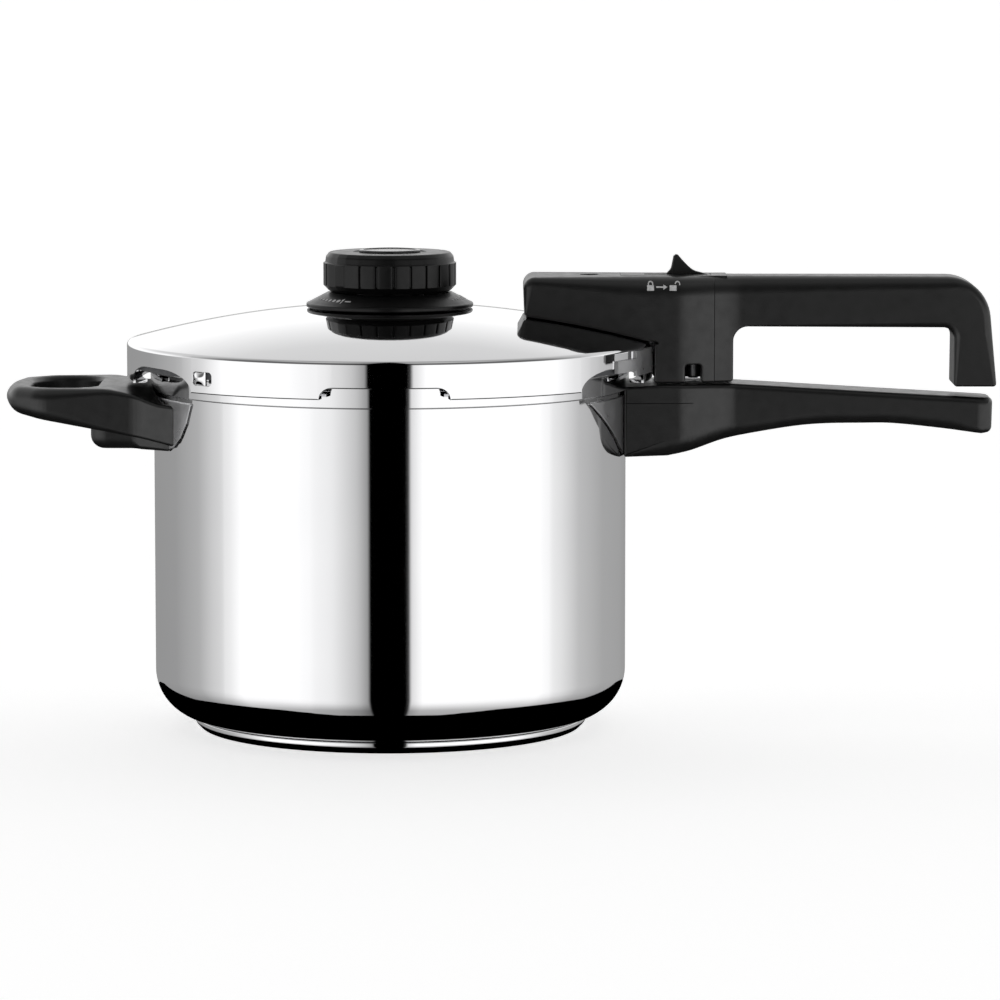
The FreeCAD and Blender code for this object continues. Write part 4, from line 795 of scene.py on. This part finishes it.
def pot_handle():
    """The long handle under the lid handle: a deep root, a waist, and a grip that thins out."""
    start = math.sqrt(WALL_R ** 2 - POT_ROOT_HALF ** 2)
    belly = curve([(BOLT_X - 12.6, POT_ROOT_BOTTOM_Z), (BOLT_X - 0.8, POT_ROOT_BOTTOM_Z + 2.6),
                   (BOLT_X + 18.1, POT_ROOT_BOTTOM_Z + 8.1), (BOLT_X + 51, POT_GRIP_TOP_Z - 19.9),
                   (BOLT_X + 79.3, POT_GRIP_TOP_Z - 18.9), (POT_GRIP_END_X - 42.3, POT_GRIP_TOP_Z - 19.4),
                   (POT_GRIP_END_X - 5.5, POT_GRIP_TOP_Z - 23.6)], 7)
    outline = fillet([
        (start, POT_ROOT_BOTTOM_Z, 1.0),
        *belly,
        (POT_GRIP_END_X - 0.6, POT_GRIP_TOP_Z - 22.8, 3.0),
        (POT_GRIP_END_X, POT_GRIP_TOP_Z - 7.0, 2.6),
        (BOLT_X + 17.9, POT_GRIP_TOP_Z, 40),
        (BOLT_X - 15, POT_GRIP_TOP_Z, 20),
        (start, POT_GRIP_TOP_Z - 0.9, 1.0),
    ], step=5)

    def edge(x, z):
        top = 1.4 + 2.0 * blend_between(x, BOLT_X, BOLT_X + 30)
        below = blend_between(POT_GRIP_TOP_Z - z, 9, 15) * blend_between(x, start + 1, start + 12)
        belly = 8.0 - 2.4 * blend_between(x, BOLT_X, BOLT_X + 40) - 3.0 * blend_between(
            x, POT_GRIP_END_X - 22, POT_GRIP_END_X - 6)
        return top + (belly - top) * below

    def place(x, z, side, depth):
        half = POT_ROOT_HALF + (POT_GRIP_HALF - POT_ROOT_HALF) * blend_between(x, BOLT_X - 8, BOLT_X + 20)
        end = min(max((x - POT_GRIP_END_X + 8) / 8, 0.0), 1.0)
        half -= 6.0 * (1 - math.sqrt(1 - end ** 2))
        if abs(z - PARTING_Z) < 0.1 and x < BOLT_X - 0.5:
            half -= 0.2
        y = side * (half - depth)
        hug = math.sqrt(WALL_R ** 2 - y ** 2) - start
        return (x + hug * (1 - blend_between(x, start, start + 14)), y, z)

    cuts = spaced(BOLT_X - 9, BOLT_X + 21, 1.0) + spaced(POT_GRIP_END_X - 8, POT_GRIP_END_X - 0.5, 1.0)
    bm = slab(outline, edge, place, cuts=cuts, levels=[PARTING_Z + step for step in (-0.2, 0, 0.2)])
    mesh = finish_mesh("pot_handle_grip", bm)
    bush = round_cutter(BOLT_X, 0, high("strike_bush", 0) - BOLT_X, low("strike_bush", 2), POT_GRIP_TOP_Z + 1)
    bore = round_cutter(BOLT_X, 0, 3.2, low("strike_bush", 2) - 3.5, POT_GRIP_TOP_Z + 1)
    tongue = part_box("pot_handle_bracket")[1][0] / MM
    screw_x = (low("pot_handle_screw", 0) + high("pot_handle_screw", 0)) / 2
    tongue_z = high("pot_handle_screw", 2)
    slot = box_cutter((start - 3, -9.3, tongue_z - 3.3), (tongue + 0.3, 9.3, tongue_z + 0.3))
    head = round_cutter(screw_x, 0, 4.8, POT_ROOT_BOTTOM_Z - 2, low("pot_handle_screw", 2) + 2.8)
    shank = round_cutter(screw_x, 0, 2.6, POT_ROOT_BOTTOM_Z, tongue_z)
    mesh = carve(mesh, bush, bore, slot, head, shank)
    add_piece("pot_handle_grip", mesh, "handle_plastic", "pot", "pot_handle")


HELPER_REACH = -low("helper_handle", 0)
HELPER_TOP_Z = high("helper_handle", 2)
HELPER_ROOT_BOTTOM_Z = low("helper_handle", 2)
HELPER_HALF = 40.0
HELPER_FLARE = 52.0
HELPER_ROOT_X = GUARD_R + 26.3
HELPER_ROOT_HALF = 38.0
HELPER_ROOT_FLARE = 47.0
FINGER_HALF = 31.0


def helper_under(x):
    """Height of the short handle's underside, which rises evenly away from the pot."""
    return HELPER_TOP_Z - 22.4 + 0.176 * (-x - GUARD_R - 5.5)


def both_sides(half):
    """A line of corners on one side of the axis, and back on the other side."""
    return [*half, *[(u, -v, radius) for u, v, radius in reversed(half)]]


def helper_handle():
    """The short handle: a loop with a finger hole, flared where it meets the pot, and a root block."""
    def wall(half):
        return [(-math.sqrt(WALL_R ** 2 - y ** 2), y, 0) for y in spaced(-half, half, 4.0)]

    outline = fillet([*wall(HELPER_FLARE), *both_sides([
        (-(GUARD_R + 4.0), HELPER_HALF, 14),
        (-(HELPER_REACH - 17), HELPER_HALF - 0.3, 14),
        (-(HELPER_REACH - 3.2), HELPER_HALF - 13, 14),
        (-HELPER_REACH, 9.0, 60),
    ])], step=6)
    near, far = HELPER_ROOT_X - 1.8, HELPER_REACH - 11.5
    hole = fillet(both_sides([(-near, FINGER_HALF, 13), (-(far - 7), FINGER_HALF - 1, 13),
                              (-far, FINGER_HALF - 14, 26)]), step=6)

    def edge(x, y):
        if -far - 1 < x < -near + 1 and abs(y) < FINGER_HALF + 1:
            return 2.6
        return 1.6 + 4.2 * (1 - blend_between(x, -(GUARD_R + 30), -(GUARD_R + 4)))

    def place(x, y, side, depth):
        droop = 7.0 * blend_between(abs(y), 12, 53) * (1 - blend_between(-x, GUARD_R - 8, GUARD_R + 22))
        return (x, y, HELPER_TOP_Z - droop - depth if side > 0 else helper_under(x) + depth)

    bm = slab(outline, edge, place, holes=[hole], cuts=spaced(-(GUARD_R + 52), -(GUARD_R - 8), 2.0))
    loop = finish_mesh("helper_loop", bm)
    block = fillet([*wall(HELPER_ROOT_FLARE), (-(GUARD_R + 5), HELPER_ROOT_HALF, 8),
                    (-HELPER_ROOT_X, HELPER_ROOT_HALF, 8), (-HELPER_ROOT_X, -HELPER_ROOT_HALF, 8),
                    (-(GUARD_R + 5), -HELPER_ROOT_HALF, 8)], step=8)

    def root_edge(x, _):
        return 1.4 + 4.8 * (1 - blend_between(x, -(GUARD_R + 8), -(GUARD_R + 1)))

    def root_place(x, y, side, depth):
        return (x, y, HELPER_TOP_Z - 17.5 if side > 0 else HELPER_ROOT_BOTTOM_Z + depth)

    root = finish_mesh("helper_root", slab(block, root_edge, root_place))
    screw_x = (low("helper_handle_screw", 0) + high("helper_handle_screw", 0)) / 2
    tongue_z = high("helper_handle_screw", 2)
    slot = (low("helper_handle_bracket", 0) - 0.3, -9.3, tongue_z - 3.3), (-(WALL_R - 5), 9.3, tongue_z + 0.3)
    root = carve(root, box_cutter(*slot), round_cutter(screw_x, 0, 4.8, HELPER_ROOT_BOTTOM_Z - 2,
                                                       low("helper_handle_screw", 2) + 2.8),
                 round_cutter(screw_x, 0, 2.6, HELPER_ROOT_BOTTOM_Z, tongue_z))
    loop = carve(loop, box_cutter(*slot))
    add_piece("helper_handle_loop", loop, "handle_plastic", "pot", "helper_handle")
    add_piece("helper_handle_root", root, "handle_plastic", "pot")


# -------------------------------- pressure regulator
KNOB_R = 31.2
KNOB_PLATE_R = 28.4
KNOB_Z = low("regulator_knob", 2)
KNOB_TOP_Z = high("regulator_knob", 2)
KNOB_SKIRT_Z = KNOB_TOP_Z - 18.1
GROOVE_PITCH = 15.0
GROOVE_PHASE = 4.4
GROOVE_DEPTH = 1.1
POINTER_ANGLE = -47.5
POINTER_HALF = 6.0
FRONT = 270.0
DIAL_R = high("dial_ring", 0)
NECK_R = 29.3


def regulator_knob():
    """The pressure knob: narrow grooves round its side, one wide pointer rib, and a smooth top."""
    half_groove = 1.25 / 2 / KNOB_R / DEGREE
    grooves = [GROOVE_PHASE + GROOVE_PITCH * k for k in range(24)]
    grooves = [g for g in grooves if abs((g - POINTER_ANGLE + 180) % 360 - 180) > GROOVE_PITCH]
    shape = {FRONT + POINTER_ANGLE + side * (POINTER_HALF + step): raised
             for side in (-1, 1) for step, raised in ((-0.9, 0.45), (-0.4, 0.35), (0.0, 0.0))}
    for groove in grooves:
        for share, cut in ((-1.4, 0), (-1.0, 0.15), (-0.75, 0.7), (-0.4, 0.97), (0, 1), (0.4, 0.97),
                           (0.75, 0.7), (1.0, 0.15), (1.4, 0)):
            shape[FRONT + groove + share * half_groove] = -cut * GROOVE_DEPTH
        shape[FRONT + groove + GROOVE_PITCH / 2] = 0.0
        shape[FRONT + groove + GROOVE_PITCH / 4] = 0.0
        shape[FRONT + groove - GROOVE_PITCH / 4] = 0.0
    shape[FRONT + POINTER_ANGLE] = 0.45
    band_top, band_low = KNOB_TOP_Z - 5.0, KNOB_SKIRT_Z + 2.8
    top = fillet([(KNOB_R, band_top, 0), (30.3, band_top + 0.5, 0.3), (29.9, KNOB_TOP_Z - 1.8, 1.6),
                  (KNOB_PLATE_R, KNOB_TOP_Z, 1.3), (17.5, KNOB_TOP_Z, 0.4), (17.0, KNOB_TOP_Z - 0.5, 0.3),
                  (14.5, KNOB_TOP_Z - 0.5, 0), (14.5, KNOB_TOP_Z - 1.0, 0), (0, KNOB_TOP_Z - 1.0, 0)],
                 closed=False)
    inside = [(0, KNOB_TOP_Z - 3.0), (26.2, KNOB_TOP_Z - 3.0), (27.2, KNOB_TOP_Z - 4.0),
              (27.2, KNOB_SKIRT_Z + 0.1), (28.3, KNOB_SKIRT_Z), (28.9, KNOB_SKIRT_Z + 0.35)]

    def profile(angle):
        raised = shape[angle]
        band = [(KNOB_R - 0.4, band_low - 0.45), (KNOB_R, band_low - 0.1), (KNOB_R + raised * 0.2, band_low),
                (KNOB_R + raised, band_low + 0.5), (KNOB_R + raised, band_top - 0.7),
                (KNOB_R + raised * 0.4, band_top - 0.2)]
        return [*inside, *band, *top]

    shape = {angle % 360: raised for angle, raised in shape.items()}
    bm = lathe(profile, sorted(shape), closed=False)
    add_piece("regulator_knob_cap", finish_mesh("regulator_knob_cap", bm, 32), "knob_plastic", "knob",
              "regulator_knob")
    hub = lathe([(10.3, KNOB_Z), (16.0, KNOB_Z), (16.0, KNOB_TOP_Z - 2.9), (10.3, KNOB_TOP_Z - 2.9)],
                even_angles(72))
    add_piece("regulator_knob_hub", finish_mesh("regulator_knob_hub", hub), "knob_plastic", "knob")


def knob_badge():
    """A blank badge in the knob's top: a shallow dish inside a bright rim."""
    top = high("knob_badge", 2)
    z = low("knob_badge", 2)
    r = high("knob_badge", 0)
    profile = fillet([(0, z, 0), (r, z, 0), (r, top - 0.1, 0.5), (r - 1.5, top, 0.5),
                      (r - 2.0, top - 0.45, 0.4), (0, top - 0.35, 0)], closed=False)
    bm = lathe(profile, even_angles(120), closed=False)
    add_piece("knob_badge_disc", finish_mesh("knob_badge_disc", bm), "badge", "knob", "knob_badge")


def dial_ring():
    """The fixed ring under the knob: a cone with a neck that the knob turns on, and its printed scale."""
    z, top = low("dial_ring", 2), high("dial_ring", 2)
    web = z + 1.0
    profile = fillet([
        (8.3, web, 0), (DIAL_R - 3.2, web, 0), (DIAL_R - 2.2, z + 0.45, 0.3), (DIAL_R, z + 0.4, 0.5),
        (DIAL_R, z + 2.3, 0.7), (DIAL_R - 1.4, z + 2.9, 0.8), (NECK_R + 1.6, top - 0.8, 1.2),
        (NECK_R, top, 0.3), (NECK_R - 1.5, top, 0.3), (NECK_R - 1.5, web + 2.3, 0.5), (8.3, web + 2.3, 0),
    ])
    mesh = finish_mesh("dial_ring_cone", lathe(profile))
    add_piece("dial_ring_cone", mesh, "knob_plastic", "lid", "dial_ring")
    dial_scale(mesh)


def dial_scale(surface):
    """A row of growing dots, a figure 1 and a short line for each of two settings."""
    middle_r = (DIAL_R - 1.4 + NECK_R + 1.6) / 2
    shapes = []

    def turned(shape, angle):
        cos, sin = math.cos((FRONT + angle) * DEGREE), math.sin((FRONT + angle) * DEGREE)
        return [(point[1] * cos - point[0] * sin, point[0] * cos + point[1] * sin, 0) for point in shape]

    for start in (-73.0, 60.0):
        for k in range(7):
            shapes.append(turned(arc((0, middle_r), 0.35 + 0.11 * k, 0, 345, 23), start + 5.0 * k))
        figure = [(-0.25, middle_r + 1.6), (0.35, middle_r + 1.6), (0.35, middle_r - 1.6),
                  (-0.1, middle_r - 1.6), (-0.8, middle_r - 0.9), (-0.8, middle_r - 0.4),
                  (-0.25, middle_r - 0.8)]
        shapes.append(turned(figure, start + 34.0))
        line = [(-1.6, middle_r - 0.35), (1.6, middle_r - 0.35), (1.6, middle_r + 0.35),
                (-1.6, middle_r + 0.35)]
        shapes.append(turned(line, start + 39.5))
    printed("dial_scale", shapes, surface, lambda x, y: (x, y, KNOB_TOP_Z), (0, 0, -1), "lid")


pot_body()
base_cap()
flame_guard("pot_flame_guard", "pot_handle_bracket", 1, [(24, 131.5), (29, 134.5), (62, 158.5)])
flame_guard("helper_flame_guard", "helper_handle_bracket", -1,
            [(42, 134.5), (52, 137), (58, 142), (62.5, 149), (66, 158.5)])
lid_shell()
window_tab()
lid_handle()
lock_slider()
pot_handle()
helper_handle()
regulator_knob()
knob_badge()
dial_ring()
dress_cad_nodes()


# -------------------------------- studio
def ramp(tree, source, stops):
    """A grey ramp from (position, level) stops."""
    node = tree.nodes.new("ShaderNodeValToRGB")
    elements = node.color_ramp.elements
    while len(elements) < len(stops):
        elements.new(0.5)
    for element, (position, level) in zip(elements, stops):
        element.position = position
        element.color = (level, level, level, 1)
    tree.links.new(source, node.inputs["Fac"])
    return node.outputs["Color"]


def math_node(tree, operation, first, second=None):
    node = tree.nodes.new("ShaderNodeMath")
    node.operation = operation
    for socket, source in zip(node.inputs, (first, second)):
        if isinstance(source, (int, float)):
            socket.default_value = source
        elif source is not None:
            tree.links.new(source, socket)
    return node.outputs["Value"]


def studio_world():
    """A white tent with a narrow dark gap at the front, and dark below the edge of its table.

    The camera itself sees plain white.
    """
    world = bpy.data.worlds.new("studio")
    bpy.context.scene.world = world
    world.use_nodes = True
    tree = world.node_tree
    tree.nodes.clear()
    place = tree.nodes.new("ShaderNodeTexCoord")
    axes = tree.nodes.new("ShaderNodeSeparateXYZ")
    tree.links.new(place.outputs["Generated"], axes.inputs["Vector"])
    front = math_node(tree, "MULTIPLY", axes.outputs["Y"], -1.0)
    azimuth = math_node(tree, "ARCTAN2", axes.outputs["X"], front)
    around = math_node(tree, "ADD", math_node(tree, "DIVIDE", azimuth, 2 * math.pi), 0.5)
    height = math_node(tree, "ARCSINE", axes.outputs["Z"])
    upward = math_node(tree, "ADD", math_node(tree, "DIVIDE", height, math.pi), 0.5)

    def at(degrees):
        return 0.5 + degrees / 360

    wall = ramp(tree, around, [
        (0.0, 0.30), (at(-150), 0.34), (at(-128), 0.37), (at(-106), 0.50), (at(-88), 0.85), (at(-76), 1.25),
        (at(-45), 1.25), (at(-27), 1.02), (at(-14.8), 0.65), (at(-9.6), 0.36), (at(-9.0), 0.0),
        (at(9.8), 0.0), (at(10.4), 0.8), (at(17), 1.25), (at(78), 1.25), (at(88), 1.0), (at(106), 0.60),
        (at(128), 0.44), (at(150), 0.40), (1.0, 0.30),
    ])
    back = ramp(tree, upward, [(0.0, 0.28), (0.49, 0.34), (0.515, 1.2), (0.58, 1.2), (0.66, 0.78),
                               (0.80, 0.6), (1.0, 0.25)])
    ceiling = ramp(tree, upward, [
        (0.0, 0.0), (0.235, 0.0), (0.245, 0.36), (0.31, 0.42), (0.40, 0.92), (0.44, 1.0),
        (0.535, 1.0), (0.58, 0.12), (0.76, 0.12), (0.86, 0.5), (1.0, 0.4),
    ])
    backness = math_node(tree, "ADD", math_node(tree, "MULTIPLY", axes.outputs["Y"], 1.6), 0.35)
    clamp = tree.nodes.new("ShaderNodeClamp")
    tree.links.new(backness, clamp.inputs["Value"])
    lit = tree.nodes.new("ShaderNodeMix")
    lit.data_type = "RGBA"
    lit.blend_type = "MULTIPLY"
    lit.inputs["Factor"].default_value = 1.0
    tree.links.new(wall, lit.inputs["A"])
    tree.links.new(ceiling, lit.inputs["B"])
    ground = ramp(tree, around, [
        (0.0, 0.45), (at(-150), 0.43), (at(-120), 0.36), (at(-60), 0.30), (at(-30), 0.245),
        (at(30), 0.245), (at(60), 0.30), (at(120), 0.36), (at(150), 0.43), (1.0, 0.45),
    ])
    shown = tree.nodes.new("ShaderNodeMix")
    shown.data_type = "RGBA"
    shown.inputs["A"].default_value = (0, 0, 0, 1)
    tree.links.new(math_node(tree, "GREATER_THAN", upward, ground), shown.inputs["Factor"])
    tree.links.new(lit.outputs["Result"], shown.inputs["B"])
    low_side = math_node(tree, "LESS_THAN", upward, 0.49)
    share = math_node(tree, "MULTIPLY", clamp.outputs["Result"], math_node(tree, "SUBTRACT", 1.0, low_side))
    both = tree.nodes.new("ShaderNodeMix")
    both.data_type = "RGBA"
    tree.links.new(share, both.inputs["Factor"])
    tree.links.new(shown.outputs["Result"], both.inputs["A"])
    tree.links.new(back, both.inputs["B"])
    seen = tree.nodes.new("ShaderNodeLightPath")
    final = tree.nodes.new("ShaderNodeMix")
    final.data_type = "RGBA"
    final.inputs["B"].default_value = (1, 1, 1, 1)
    tree.links.new(seen.outputs["Is Camera Ray"], final.inputs["Factor"])
    tree.links.new(both.outputs["Result"], final.inputs["A"])
    background = tree.nodes.new("ShaderNodeBackground")
    output = tree.nodes.new("ShaderNodeOutputWorld")
    tree.links.new(final.outputs["Result"], background.inputs["Color"])
    tree.links.new(background.outputs["Background"], output.inputs["Surface"])


def studio_floor():
    bm = bmesh.new()
    bmesh.ops.create_grid(bm, x_segments=1, y_segments=1, size=30.0)
    mesh = bpy.data.meshes.new("floor")
    bm.to_mesh(mesh)
    bm.free()
    floor = bpy.data.objects.new("floor", mesh)
    bpy.context.scene.collection.objects.link(floor)
    floor.location.z = cad_box[0][2] - 0.0002
    material, _, shader = new_material("floor")
    shader.inputs["Base Color"].default_value = (0.82, 0.82, 0.82, 1)
    shader.inputs["Roughness"].default_value = 0.9
    shader.inputs["Specular IOR Level"].default_value = 0.1
    shader.inputs["Emission Color"].default_value = (1, 1, 1, 1)
    shader.inputs["Emission Strength"].default_value = 0.62
    mesh.materials.append(material)
    floor.visible_glossy = False


def studio_camera():
    data = bpy.data.cameras.new("camera")
    data.lens = 191.8
    data.sensor_width = 36.0
    data.clip_end = 100.0
    camera = bpy.data.objects.new("camera", data)
    bpy.context.scene.collection.objects.link(camera)
    camera.location = (0.0518, -2.5, 0.3912)
    camera.rotation_euler = ((90 - 6.49) * DEGREE, 0, 0)
    bpy.context.scene.camera = camera


studio_world()
studio_floor()
studio_camera()
bpy.context.scene.view_settings.view_transform = "Standard"
